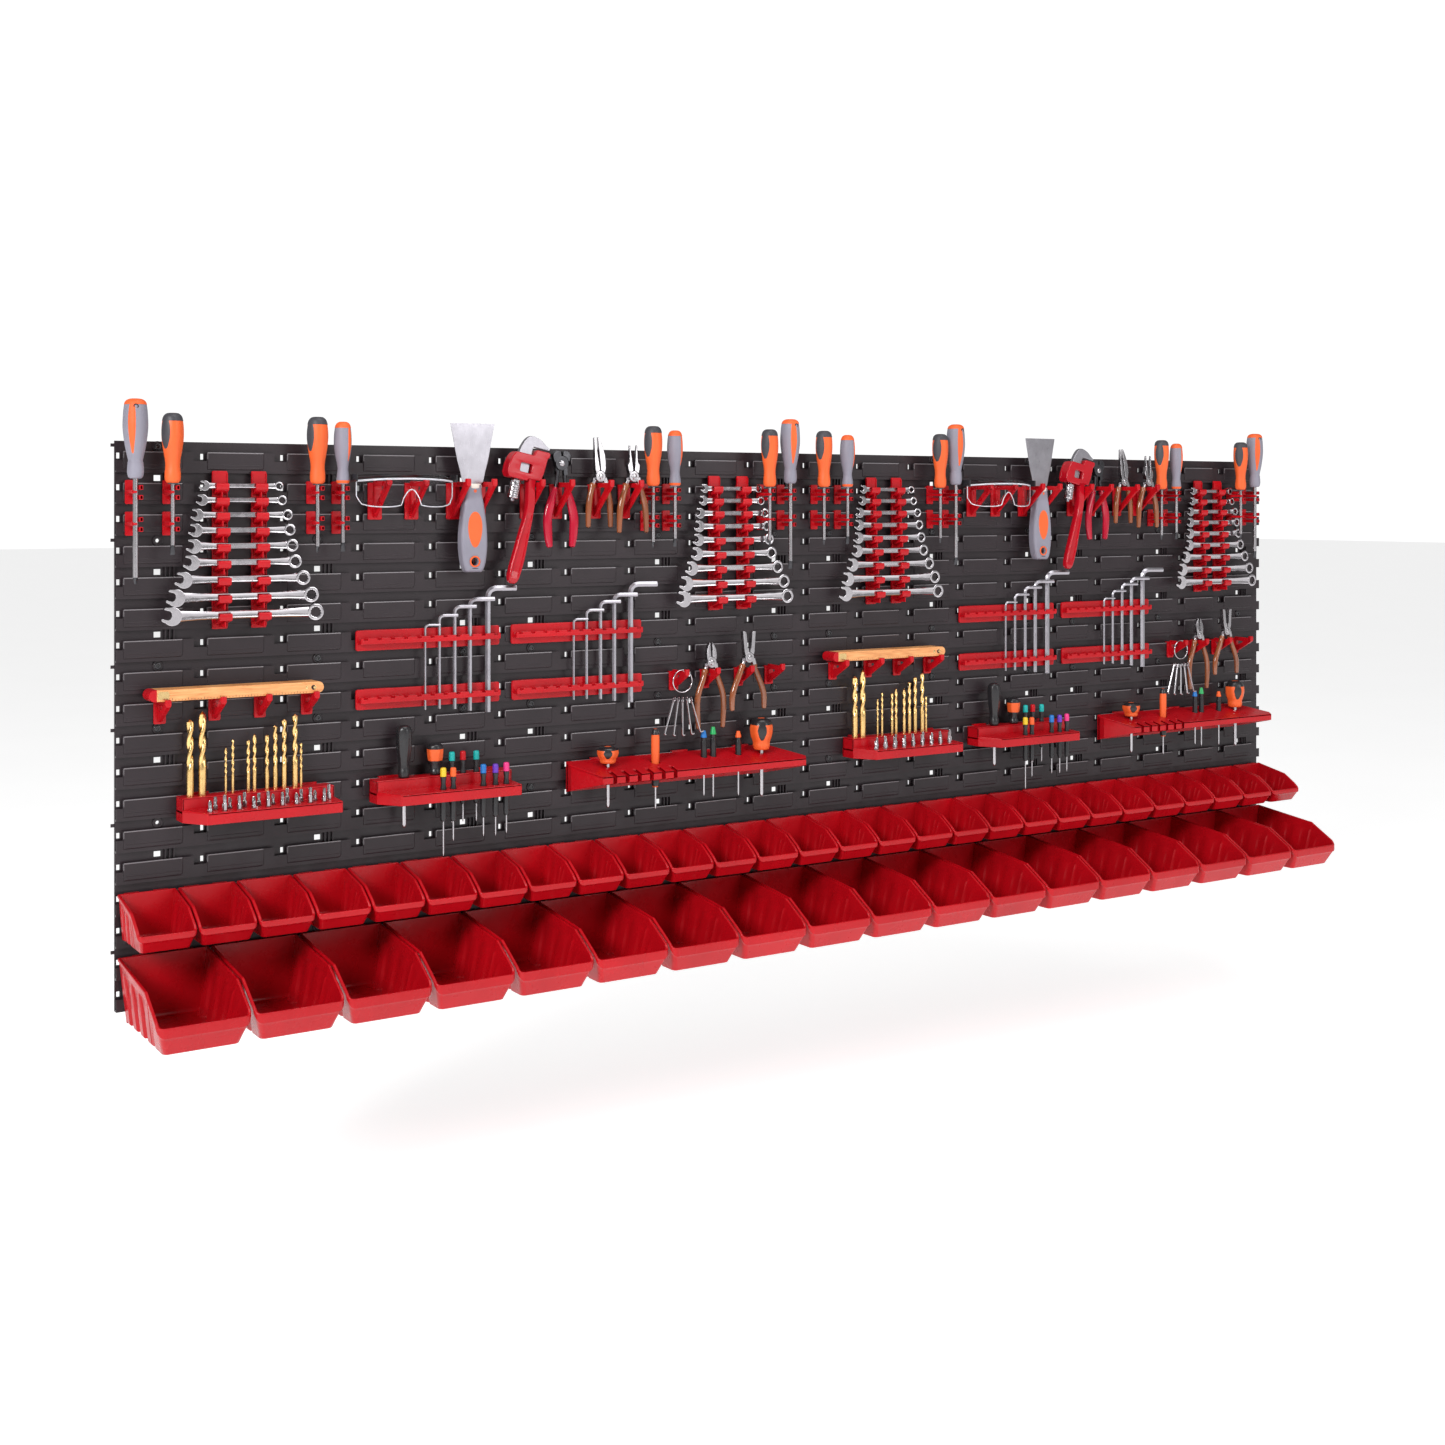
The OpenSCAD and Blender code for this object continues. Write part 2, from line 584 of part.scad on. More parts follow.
// One arm about its pivot: the jaw on one side, the handle crossing to the other.
// Inside the web each arm is half as thick, so the two lie on each other.
module plier_arm(kind, side) {
    web = kind[2];
    half = plier_t / 2;
    near = side > 0 ? 0 : half + 0.1;
    far = side > 0 ? half + 0.1 : 0;
    rotate([0, side * kind[3], 0]) {
        difference() {
            facing(0, plier_t) {
                polygon([for (p = kind[4])
                    [side * p[0] - kind[8] * pow(max(p[1] - 20, 0), 2), p[1]]]);
                mirror([side > 0 ? 1 : 0, 0]) strip(kind[5], kind[6]);
            }
            facing(far - 0.1, far + half + 0.1) circle(r = web + 0.4);
            facing(-1, plier_t + 1) circle(r = rivet_r + running_gap);
        }
        facing(near, near + half - 0.1) difference() {
            circle(r = web);
            circle(r = rivet_r + running_gap);
        }
    }
}

module pliers_at(kind, h) translate([h * half_w, 0, 0]) at(kind[0], kind[1])
    translate([0, -kind[7] + plier_t / 2, 0]) children();

module plier_fixed_arms() color("#8a5a34") for (kind = plier_kinds, h = [0, 1])
    pliers_at(kind, h) plier_arm(kind, -1);
module plier_rivets() color(steel) for (kind = plier_kinds, h = [0, 1])
    pliers_at(kind, h) {
        facing(-0.2, plier_t + 0.2) circle(r = rivet_r);
        for (d = [-1.4, plier_t + 0.2]) facing(d, d + 1.2) circle(r = rivet_r + 1.6);
    }
module moving_arm(kind, h) color(kind == red_pliers ? red : "#8a5a34")
    pliers_at(kind, h) plier_arm(kind, 1);

// ---- pipe wrench ---------------------------------------------------------------------------

pipe_x = 589;
pipe_z = 734;
pipe_tilt = 12;
pipe_depth = 46;
shank = [-6, 15.5];
screw_axis_x = -1.5;
nut_r = 9;
nut_z = -33;
nut_h = 29;

module pipe_at(h) translate([h * half_w, 0, 0]) at(pipe_x, pipe_z)
    rotate([0, pipe_tilt, 0]) translate([0, -pipe_depth, 0]) children();

module pipe_wrench_handle() difference() {
    union() {
        // Housing with a heel jaw at its upper right
        facing(-11, 11) polygon([[-18, -2.5], [-22, 4], [-22, 16], [-19, 29], [-14, 38],
            [17, 38], [18, 44], [21, 47.5], [42, 47.5], [43.5, 45.5], [43.5, 40], [40.5, 37],
            [40, 28], [38.5, 14], [36.5, 4.5], [36, 1.4], [15, 1.4], [13, -2.5]]);
        facing(-8, 8) strip([[22.5, 3], [23.2, -7], [29.2, -36], [29.8, -48]], [14, 14, 14, 14]);
        facing(-6, 6) strip([[29.8, -47], [29.8, -60], [26.5, -122], [24.5, -148], [24, -160]],
            [14, 15, 21, 20, 12]);
    }
    // Way through for the jaw's shank, and the window in front of it and behind
    translate([shank[0] - 0.5, -4.5, -10]) cube([shank[1] - shank[0] + 1, 9, 60]);
    facing(-12, 12) translate([-3.5, 10]) square([28, 13]);
}
module pipe_wrench_handles() color(red) for (h = [0, 1]) pipe_at(h) pipe_wrench_handle();

module pipe_wrench_jaw(h) color(steel) pipe_at(h) {
    facing(-4, 4) polygon([[shank[0], 6], [shank[0], 41], [-3, 52], [2, 62], [9, 67.5],
        [19, 67], [29, 63.5], [37, 58], [45, 54.5], [43.5, 50.5], [shank[1], 50.5],
        [shank[1], 6]]);
    translate([screw_axis_x, 0, nut_z - 4]) cylinder(r = 4, h = 45);
}
module pipe_wrench_nut(h) color(steel) pipe_at(h) translate([screw_axis_x, 0, nut_z])
    difference() {
        cylinder(r = nut_r, h = nut_h);
        translate([0, 0, -1]) cylinder(r = 4 + running_gap, h = nut_h + 2);
    }

// ---- nodes -------------------------------------------------------------------------------------

panel(0, 1);  // panel_top_1
panel(1, 1);  // panel_top_2
panel(2, 1);  // panel_top_3
panel(3, 1);  // panel_top_4
panel(0, 0);  // panel_bottom_1
panel(1, 0);  // panel_bottom_2
panel(2, 0);  // panel_bottom_3
panel(3, 0);  // panel_bottom_4
wall_screws();
screwdriver_clips();
wrench_racks();
tool_hooks();
small_hooks();
hex_key_rails();
drill_shelves();
driver_shelves();
tool_shelves();
small_bin_row();  // small_bins
large_bin_row();  // large_bins
small_bin(0);  // small_bin_1
small_bin(1);  // small_bin_2
small_bin(2);  // small_bin_3
large_bin(0);  // large_bin_1
large_bin(1);  // large_bin_2
large_bin(2);  // large_bin_3
screwdriver_handles();
screwdriver_shafts();
combination_wrenches();
hex_keys();
drill_bits();
screw_bits();
folding_rules();
precision_driver_handles();
precision_driver_shafts();
shelf_driver_handles();
shelf_driver_shafts();
scraper_blades();
scraper_handles();
glasses_lenses();
glasses_temples();
key_rings();
plier_fixed_arms();
plier_rivets();
moving_arm(red_pliers, 0);  // red_pliers_arm_left
moving_arm(curved_pliers, 0);  // curved_pliers_arm_left
moving_arm(needle_pliers, 0);  // needle_pliers_arm_left
moving_arm(cutter_pliers, 0);  // cutter_arm_left
moving_arm(stripper_pliers, 0);  // stripper_arm_left
moving_arm(red_pliers, 1);  // red_pliers_arm_right
moving_arm(curved_pliers, 1);  // curved_pliers_arm_right
moving_arm(needle_pliers, 1);  // needle_pliers_arm_right
moving_arm(cutter_pliers, 1);  // cutter_arm_right
moving_arm(stripper_pliers, 1);  // stripper_arm_right
pipe_wrench_handles();
pipe_wrench_jaw(0);  // pipe_wrench_jaw_left
pipe_wrench_jaw(1);  // pipe_wrench_jaw_right
pipe_wrench_nut(0);  // pipe_wrench_nut_left
pipe_wrench_nut(1);  // pipe_wrench_nut_right
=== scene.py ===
"""The looks of the pegboard tool wall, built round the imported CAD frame.

Shapes are made in millimetres: X along the wall, -Y towards the front, Z up. Their
numbers repeat the part's own, so each piece lies where its CAD node lies."""

import math

import bmesh
import bpy
import numpy as np
from mathutils import Matrix, Vector
from mathutils.geometry import tessellate_polygon


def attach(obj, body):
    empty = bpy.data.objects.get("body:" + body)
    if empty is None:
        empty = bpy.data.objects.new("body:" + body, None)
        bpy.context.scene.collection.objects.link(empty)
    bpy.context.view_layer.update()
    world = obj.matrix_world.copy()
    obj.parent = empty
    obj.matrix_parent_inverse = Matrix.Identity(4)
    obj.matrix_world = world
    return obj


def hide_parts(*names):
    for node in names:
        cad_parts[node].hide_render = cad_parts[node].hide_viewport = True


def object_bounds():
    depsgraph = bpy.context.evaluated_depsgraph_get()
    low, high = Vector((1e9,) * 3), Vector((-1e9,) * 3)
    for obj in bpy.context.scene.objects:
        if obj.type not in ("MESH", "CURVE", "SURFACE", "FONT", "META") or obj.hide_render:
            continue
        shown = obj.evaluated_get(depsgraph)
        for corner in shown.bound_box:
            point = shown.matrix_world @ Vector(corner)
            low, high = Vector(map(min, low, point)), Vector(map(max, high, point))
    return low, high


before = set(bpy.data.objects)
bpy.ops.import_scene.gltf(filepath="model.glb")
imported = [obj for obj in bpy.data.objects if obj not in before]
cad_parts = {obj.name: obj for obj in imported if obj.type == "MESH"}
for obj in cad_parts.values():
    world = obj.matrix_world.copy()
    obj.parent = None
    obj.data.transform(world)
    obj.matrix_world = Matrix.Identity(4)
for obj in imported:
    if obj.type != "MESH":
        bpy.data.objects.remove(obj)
cad_lo, cad_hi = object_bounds()

# ---- sizes shared with the part ----

PANEL_W, PANEL_H, SHEET_T, RAIL_D, BAND_H = 576.0, 390.0, 4.0, 12.0, 14.3
RAILS, NOTCHES = 9, 5
PITCH = PANEL_H / RAILS
RAIL_H = PITCH - BAND_H
NOTCH_PITCH = PANEL_W / NOTCHES
HALF_W = 2 * PANEL_W
HALVES = (0.0, HALF_W)
FRONT = RAIL_D + 0.3
PLATE_T = 3.0
TAU = 2 * math.pi


def rail_top(n):
    return 2 * PANEL_H - BAND_H - n * PITCH


def at(x, z, depth=0.0):
    """A place given from the wall's lower left corner."""
    return Matrix.Translation((x - HALF_W, -depth, z - PANEL_H))


def turn(degrees, axis):
    return Matrix.Rotation(math.radians(degrees), 4, axis)


def move(x, y, z):
    return Matrix.Translation((x, y, z))


def scale(x, y, z):
    return Matrix.Diagonal((x, y, z, 1))


# ---- mesh kit ----


class Shape:
    """Points in millimetres, faces and each face's material number."""

    def __init__(self):
        self.v, self.f, self.m = [], [], []

    def put(self, other, matrix=None, mat=None):
        n = len(self.v)
        if matrix is None:
            self.v += other.v
            flip = False
        else:
            a = np.array(matrix)
            p = np.array(other.v) @ a[:3, :3].T + a[:3, 3]
            self.v += p.tolist()
            flip = np.linalg.det(a[:3, :3]) < 0
        if flip:
            self.f += [tuple(n + i for i in reversed(f)) for f in other.f]
        else:
            self.f += [tuple(n + i for i in f) for f in other.f]
        self.m += other.m if mat is None else [mat] * len(other.f)
        return self

    def warp(self, function):
        self.v = [function(*p) for p in self.v]
        return self

    def mesh(self, name, factor=1.0):
        me = bpy.data.meshes.new(name)
        me.from_pydata((np.array(self.v) * factor).tolist(), [], self.f)
        me.polygons.foreach_set("material_index", self.m)
        me.polygons.foreach_set("use_smooth", [True] * len(self.f))
        return me

    def done(self, bevel=0.0, segments=2, limit=30, dissolve=False):
        """Faces turned outwards, with the sharp edges rounded by bevel."""
        me = self.mesh("work")
        bm = bmesh.new()
        bm.from_mesh(me)
        bpy.data.meshes.remove(me)
        bmesh.ops.remove_doubles(bm, verts=bm.verts, dist=1e-4)
        if dissolve:
            bmesh.ops.dissolve_limit(bm, angle_limit=0.01, verts=bm.verts, edges=bm.edges)
        bmesh.ops.recalc_face_normals(bm, faces=bm.faces)
        if bevel:
            sharp = [e for e in bm.edges
                     if len(e.link_faces) == 2 and e.calc_face_angle(0) > math.radians(limit)]
            bmesh.ops.bevel(bm, geom=sharp, offset=bevel, segments=segments, profile=0.5,
                            affect="EDGES", clamp_overlap=True)
        bm.verts.index_update()
        out = Shape()
        out.v = [tuple(v.co) for v in bm.verts]
        out.f = [tuple(v.index for v in f.verts) for f in bm.faces]
        out.m = [f.material_index for f in bm.faces]
        bm.free()
        return out


def in_halves(*spots):
    """Shapes put into both halves of the wall. A spot is a shape, its x, z and depth, and
    perhaps its turn about Z in degrees."""
    group = Shape()
    for h in HALVES:
        for unit, x, z, depth, *spin in spots:
            place = at(x + h, z, depth)
            group.put(unit, place @ turn(spin[0], "Z") if spin else place)
    return group


def FACING(u, v, w):
    return (u, -w, v)


def SIDE(u, v, w):
    return (w, -u, v)


def PLAN(u, v, w):
    return (u, -v, w)


def area(poly):
    return 0.5 * sum(poly[i - 1][0] * poly[i][1] - poly[i][0] * poly[i - 1][1]
                     for i in range(len(poly)))


def ccw(poly, positive=True):
    return list(poly) if (area(poly) > 0) == positive else list(poly)[::-1]


def inset(poly, a):
    """Moves a counter-clockwise outline inwards by a; a clockwise one outwards."""
    n, out = len(poly), []
    for i in range(n):
        p, q, r = poly[i - 1], poly[i], poly[(i + 1) % n]
        e0 = Vector((q[0] - p[0], q[1] - p[1])).normalized()
        e1 = Vector((r[0] - q[0], r[1] - q[1])).normalized()
        n0, n1 = Vector((-e0.y, e0.x)), Vector((-e1.y, e1.x))
        s = (n0 + n1) * (a / max(0.35, 1 + n0.dot(n1)))
        out.append((q[0] + s.x, q[1] + s.y))
    return out


def rounded(poly, r, steps=3):
    """An outline with its corners rounded; r is one radius or one for each corner."""
    n, out = len(poly), []
    radii = r if hasattr(r, "__len__") else [r] * n
    for i in range(n):
        p, q, s = (Vector(poly[k % n]) for k in (i - 1, i, i + 1))
        a, b = (p - q), (s - q)
        la, lb = a.length, b.length
        a.normalize(), b.normalize()
        half = a.angle(b) / 2 if la > 1e-6 and lb > 1e-6 else math.pi / 2
        if radii[i] <= 0 or half > math.radians(88):
            out.append(tuple(q))
            continue
        cut = min(radii[i] / math.tan(half), 0.48 * la, 0.48 * lb)
        start, end = q + a * cut, q + b * cut
        for k in range(steps + 1):
            t = k / steps
            out.append(tuple(start * (1 - t) ** 2 + q * 2 * t * (1 - t) + end * t * t))
    return out


def angles(n):
    return [TAU * k / n for k in range(n)]


def circle(r, n=24, x=0.0, z=0.0):
    return [(x + r * math.cos(a), z + r * math.sin(a)) for a in angles(n)]


def level_ring(z, radius, n=24):
    """A ring of n points at height z; radius is a function of the angle."""
    return [(radius(a) * math.cos(a), radius(a) * math.sin(a), z) for a in angles(n)]


def rect(x0, x1, z0, z1):
    return [(x0, z0), (x1, z0), (x1, z1), (x0, z1)]


def prism(outline, a0, a1, way=FACING, soft=0.0, steps=2, holes=(), mat=0):
    """An outline extruded from a0 to a1, with the edges of both ends rounded by soft."""
    loops = [ccw(outline)] + [ccw(h, False) for h in holes]
    levels = [(soft * (1 - math.sin(k / steps * math.pi / 2)),
               a0 + soft * (1 - math.cos(k / steps * math.pi / 2)))
              for k in range(steps + 1)] if soft else [(0.0, a0)]
    levels += [(i, a0 + a1 - w) for i, w in reversed(levels)]
    s = Shape()
    starts = []
    for loop in loops:
        first, n = len(s.v), len(loop)
        starts.append(first)
        for i, w in levels:
            s.v += [way(u, v, w) for u, v in (inset(loop, i) if i > 1e-9 else loop)]
        for level in range(len(levels) - 1):
            a, b = first + level * n, first + (level + 1) * n
            for k in range(n):
                j = (k + 1) % n
                s.f.append((a + k, a + j, b + j, b + k))
    for end in (0, len(levels) - 1):
        rings = [[first + end * len(loop) + k for k in range(len(loop))]
                 for first, loop in zip(starts, loops)]
        if len(loops) == 1:
            s.f.append(tuple(rings[0]))
        else:
            flat = [i for ring in rings for i in ring]
            tris = tessellate_polygon([[Vector(s.v[i]) for i in ring] for ring in rings])
            s.f += [tuple(flat[i] for i in t) for t in tris]
    s.m = [mat] * len(s.f)
    return s.done()


def loft(rings, closed=False, mat=0):
    """Joins rings of points, and closes the two ends or joins the last ring to the first."""
    s, n, count = Shape(), len(rings[0]), len(rings)
    for ring in rings:
        s.v += [tuple(p) for p in ring]
    for level in range(count if closed else count - 1):
        a, b = level * n, (level + 1) % count * n
        for k in range(n):
            j = (k + 1) % n
            s.f.append((a + k, a + j, b + j, b + k))
    if not closed:
        s.f += [tuple(range(n))[::-1], tuple(range((count - 1) * n, count * n))]
    s.m = [mat] * len(s.f)
    return s.done()


def turned(profile, n=24, form=None, closed=False, mat=0):
    """A turned shape: profile is [radius, z] points; form scales the radius by angle and z."""
    return loft([level_ring(z, lambda a: r * (form(a, z) if form else 1.0), n)
                 for r, z in profile], closed, mat)


def tube(path, radius, n=12, squash=1.0, mat=0, loop=False):
    """A tube along a path. radius is one number or one for each point; squash flattens it."""
    pts = [Vector(p) for p in path]
    radii = radius if hasattr(radius, "__len__") else [radius] * len(pts)
    flat = squash if hasattr(squash, "__len__") else [squash] * len(pts)
    rings, side = [], None
    for i, p in enumerate(pts):
        if loop:
            t = (pts[(i + 1) % len(pts)] - pts[i - 1]).normalized()
        else:
            t = (pts[min(i + 1, len(pts) - 1)] - pts[max(i - 1, 0)]).normalized()
        if side is None:
            side = Vector((0, 1, 0)).cross(t)
            if side.length < 1e-3:
                side = Vector((1, 0, 0)).cross(t)
        side = (side - t * side.dot(t)).normalized()
        other = t.cross(side)
        rings.append([p + side * (radii[i] * math.cos(a))
                      + other * (radii[i] * flat[i] * math.sin(a)) for a in angles(n)])
    return loft(rings, loop, mat)


def bent(points, r, steps=5):
    """A path with its corners rounded."""
    pts = [Vector(p) for p in points]
    out = [pts[0]]
    for i in range(1, len(pts) - 1):
        q = pts[i]
        a, b = (pts[i - 1] - q), (pts[i + 1] - q)
        cut = min(r, 0.49 * a.length, 0.49 * b.length)
        s, e = q + a.normalized() * cut, q + b.normalized() * cut
        out += [s * (1 - t) ** 2 + q * 2 * t * (1 - t) + e * t * t
                for t in (k / steps for k in range(steps + 1))]
    return out + [pts[-1]]


def spline(points, steps=4):
    """A smooth curve through points of any dimension."""
    p = [np.array(points[0])] + [np.array(q) for q in points] + [np.array(points[-1])]
    out = []
    for i in range(1, len(p) - 2):
        for k in range(steps):
            t = k / steps
            a, b, c, d = p[i - 1], p[i], p[i + 1], p[i + 2]
            out.append(0.5 * (2 * b + (c - a) * t + (2 * a - 5 * b + 4 * c - d) * t * t
                              + (3 * b - a - 3 * c + d) * t ** 3))
    return [q.tolist() for q in out] + [p[-1].tolist()]


def block(x0, x1, d0, d1, z0, z1, soft=0.8, mat=0):
    return prism(rounded(rect(x0, x1, z0, z1), soft, 2), d0, d1, FACING, soft, mat=mat)


def rail_hook(w, drop=8.0):
    """The hook behind a rail's face; z is 0 at the rail's top edge."""
    back = RAIL_D - 2.5
    return prism([(FRONT, -drop), (FRONT, 2.2), (back - 2.6, 2.2), (back - 2.6, -drop),
                  (back - 0.4, -drop), (back - 0.4, 0.2), (FRONT - 0.1, 0.2), (FRONT - 0.1, -drop)],
                 -w / 2, w / 2, SIDE)


# ---- materials ----


class Look:
    """A Principled material with its node tree."""

    def __init__(self, name):
        self.material = bpy.data.materials.new(name)
        self.material.use_nodes = True
        self.tree = self.material.node_tree
        self.shader = self.tree.nodes["Principled BSDF"]
        self.place = self.node("ShaderNodeTexCoord").outputs["Object"]

    def node(self, kind, **values):
        n = self.tree.nodes.new(kind)
        for key, value in values.items():
            if hasattr(n, key):
                setattr(n, key, value)
            else:
                n.inputs[key.replace("_", " ")].default_value = value
        return n

    def link(self, a, b):
        self.tree.links.new(a, b)

    def set(self, **values):
        for key, value in values.items():
            self.shader.inputs[key.replace("_", " ")].default_value = value

    def noise(self, size, detail=3.0, stretch=None, rough=0.55):
        """Noise with features of about size metres, stretched along the axes by stretch."""
        n = self.node("ShaderNodeTexNoise", Scale=1.0 / size, Detail=detail, Roughness=rough)
        place = self.place
        if stretch:
            m = self.node("ShaderNodeMapping")
            m.inputs["Scale"].default_value = stretch
            self.link(place, m.inputs["Vector"])
            place = m.outputs["Vector"]
        self.link(place, n.inputs["Vector"])
        return n.outputs["Fac"]

    def ramp(self, fac, stops):
        r = self.node("ShaderNodeValToRGB")
        e = r.color_ramp.elements
        while len(e) < len(stops):
            e.new(0.5)
        for k, (pos, colour) in enumerate(stops):
            e[k].position = pos
            e[k].color = (*colour, 1) if hasattr(colour, "__len__") else (colour,) * 3 + (1,)
        self.link(fac, r.inputs["Fac"])
        return r.outputs["Color"]

    def colour(self, output):
        self.link(output, self.shader.inputs["Base Color"])

    def rough(self, fac, low, high):
        m = self.node("ShaderNodeMapRange")
        m.inputs["To Min"].default_value, m.inputs["To Max"].default_value = low, high
        m.inputs["From Min"].default_value, m.inputs["From Max"].default_value = 0.3, 0.7
        self.link(fac, m.inputs["Value"])
        self.link(m.outputs["Result"], self.shader.inputs["Roughness"])

    def bump(self, fac, depth, before=None):
        """depth in metres."""
        b = self.node("ShaderNodeBump")
        b.inputs["Strength"].default_value = 1.0
        b.inputs["Distance"].default_value = depth
        self.link(fac, b.inputs["Height"])
        if before is not None:
            self.link(before, b.inputs["Normal"])
        return b.outputs["Normal"]

    def normal(self, output):
        self.link(output, self.shader.inputs["Normal"])


def shade(colour, k):
    return tuple(min(1.0, c * k) for c in colour)


def plastic(name, colour, low=0.25, high=0.4, grain=0.0005, depth=0.00001, vary=0.12, spec=0.5,
            scuff=0.0, **sockets):
    """Moulded plastic: broad flow shade, fine grain, and faint scuffs where scuff is above 0."""
    k = Look(name)
    flow = k.noise(0.09, 4)
    tone = k.ramp(flow, [(0.3, shade(colour, 1 - vary)), (0.7, shade(colour, 1 + vary))])
    if scuff:
        marks = k.noise(0.02, 6, (1, 1, 6), 0.7)
        mask = k.ramp(marks, [(0.62, 0.0), (0.7, scuff)])
        mix = k.node("ShaderNodeMix", data_type="RGBA")
        k.link(mask, mix.inputs[0])
        k.link(tone, mix.inputs[6])
        mix.inputs[7].default_value = (*shade(colour, 2.2), 1)
        tone = mix.outputs[2]
    k.colour(tone)
    k.rough(k.noise(0.03, 5), low, high)
    k.normal(k.bump(k.noise(grain, 2), depth, k.bump(k.noise(0.025, 2), depth * 12)))
    k.set(Specular_IOR_Level=spec, **sockets)
    return k.material


def metal(name, colour, low=0.12, high=0.3, stretch=(1, 1, 1), size=0.0012, depth=0.000012,
          tint=0.1, **sockets):
    """Polished or brushed metal: fine lines along the stretch, with cloudy roughness."""
    k = Look(name)
    cloud = k.noise(0.02, 5)
    k.colour(k.ramp(cloud, [(0.3, shade(colour, 1 - tint)), (0.7, shade(colour, 1 + tint))]))
    k.rough(k.noise(size * 6, 6, stretch), low, high)
    k.normal(k.bump(k.noise(size, 4, stretch), depth))
    k.set(Metallic=1.0, **sockets)
    return k.material


def rubber(name, colour, **sockets):
    return plastic(name, colour, 0.42, 0.6, 0.0008, 0.00002, 0.1, 0.4, **sockets)


def wood(name):
    k = Look(name)
    m = k.node("ShaderNodeMapping")
    m.inputs["Scale"].default_value = (1, 1, 14)
    k.link(k.place, m.inputs["Vector"])
    n = k.node("ShaderNodeTexNoise", Scale=26.0, Detail=8.0, Roughness=0.65, Distortion=0.6)
    k.link(m.outputs["Vector"], n.inputs["Vector"])
    k.colour(k.ramp(n.outputs["Fac"], [(0.28, (0.50, 0.17, 0.045)), (0.5, (0.76, 0.33, 0.11)),
                                       (0.75, (0.86, 0.45, 0.19))]))
    k.rough(n.outputs["Fac"], 0.3, 0.5)
    k.normal(k.bump(n.outputs["Fac"], 0.00015))
    k.set(Coat_Weight=0.35, Coat_Roughness=0.2)
    return k.material


RED = (0.45, 0.003, 0.0085)
DARK = (0.0215, 0.0148, 0.0178)
ORANGE = (0.80, 0.115, 0.022)
GREY = (0.235, 0.225, 0.275)

M = {
    "panel": plastic("panel_plastic", DARK, 0.3, 0.46, 0.0006, 0.000016, 0.16, 0.36, 0.06),
    # edge: lighter, glossier grey on the plates' ridges and left steps, a painted highlight along
    # their top and left edges
    "edge": plastic("panel_edge_painted_highlight", (0.17, 0.155, 0.165), 0.14, 0.24),
    "screw": plastic("screw_black", (0.012, 0.011, 0.012), 0.18, 0.3),
    "red": plastic("red_plastic", RED, 0.22, 0.36, 0.0007, 0.00001, 0.12, 0.3),
    "orange": rubber("orange_rubber", ORANGE),
    "grey": rubber("grey_rubber", GREY),
    "black": plastic("black_plastic", (0.016, 0.015, 0.017), 0.22, 0.36),
    "charcoal": rubber("charcoal_rubber", (0.05, 0.048, 0.056)),
    "steel": metal("tool_steel", (0.47, 0.45, 0.47), 0.14, 0.3, (1, 1, 0.08)),
    "dark_steel": metal("blackened_steel", (0.075, 0.074, 0.08), 0.25, 0.42),
    "chrome": metal("chrome", (0.62, 0.59, 0.62), 0.05, 0.16, tint=0.08),
    "blade": metal("blade_steel", (0.40, 0.385, 0.42), 0.26, 0.4, (12, 12, 0.25), 0.0006),
    "gold": metal("gold_coating", (0.86, 0.57, 0.23), 0.2, 0.34, tint=0.16),
    "wood": wood("rule_wood"),
    "brass": metal("brass", (0.78, 0.55, 0.25), 0.2, 0.35),
    "paint": plastic("red_enamel", (0.42, 0.0035, 0.012), 0.14, 0.26, 0.002, 0.00003, 0.08, 0.3,
                     Coat_Weight=0.3, Coat_Roughness=0.08),
    "grip": plastic("copper_grip", (0.22, 0.062, 0.02), 0.1, 0.22, 0.003, 0.00002, 0.25,
                    Coat_Weight=0.7, Coat_Roughness=0.06),
    "red_grip": plastic("red_dip", (0.42, 0.003, 0.025), 0.1, 0.2, 0.003, 0.00003, 0.12, 0.4,
                        Coat_Weight=0.45, Coat_Roughness=0.05),
    # rim: light grey glossy plastic on the clear glasses' brow and rim tubes, a painted highlight
    # along the lens edges
    "rim": plastic("lens_rim_painted_highlight", (0.7, 0.69, 0.74), 0.08, 0.16),
    "cream": plastic("cream_plastic", (0.68, 0.62, 0.55)),
    "yellow": plastic("yellow_cap", (0.75, 0.5, 0.02)),
    "blue": plastic("blue_cap", (0.01, 0.16, 0.5)),
    "violet": plastic("violet_cap", (0.12, 0.03, 0.42)),
    "pink": plastic("pink_cap", (0.7, 0.03, 0.2)),
    "teal": plastic("teal_cap", (0.0, 0.36, 0.34)),
    "green": plastic("green_cap", (0.02, 0.36, 0.1)),
}


def clear(name):
    """Clear polycarbonate with faint haze."""
    k = Look(name)
    k.colour(k.ramp(k.noise(0.05, 3), [(0.3, (0.93, 0.95, 0.96)), (0.7, (0.98, 0.99, 1.0))]))
    k.rough(k.noise(0.03, 4), 0.0, 0.03)
    k.normal(k.bump(k.noise(0.04, 2), 0.00005))
    k.set(Transmission_Weight=1.0, IOR=1.14)
    return k.material


M["clear"] = clear("clear_lens")

SHARP = math.radians(42)


def piece(name, shape, looks, nodes, body="wall", place=None, data=None):
    """Makes the object, with its materials and body, and hides the CAD nodes that it stands for."""
    if data is None:
        data = shape.mesh(name, 0.001)
        for look in looks:
            data.materials.append(M[look])
        data.validate()
        data.set_sharp_from_angle(angle=SHARP)
    ob = bpy.data.objects.new(name, data)
    bpy.context.scene.collection.objects.link(ob)
    if place is not None:
        m = place.copy()
        m.translation *= 0.001
        ob.matrix_world = m
    even = ob.modifiers.new("even", "WEIGHTED_NORMAL")
    even.keep_sharp = True
    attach(ob, body)
    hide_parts(*nodes)
    return ob


# ---- wall panels and screws ----

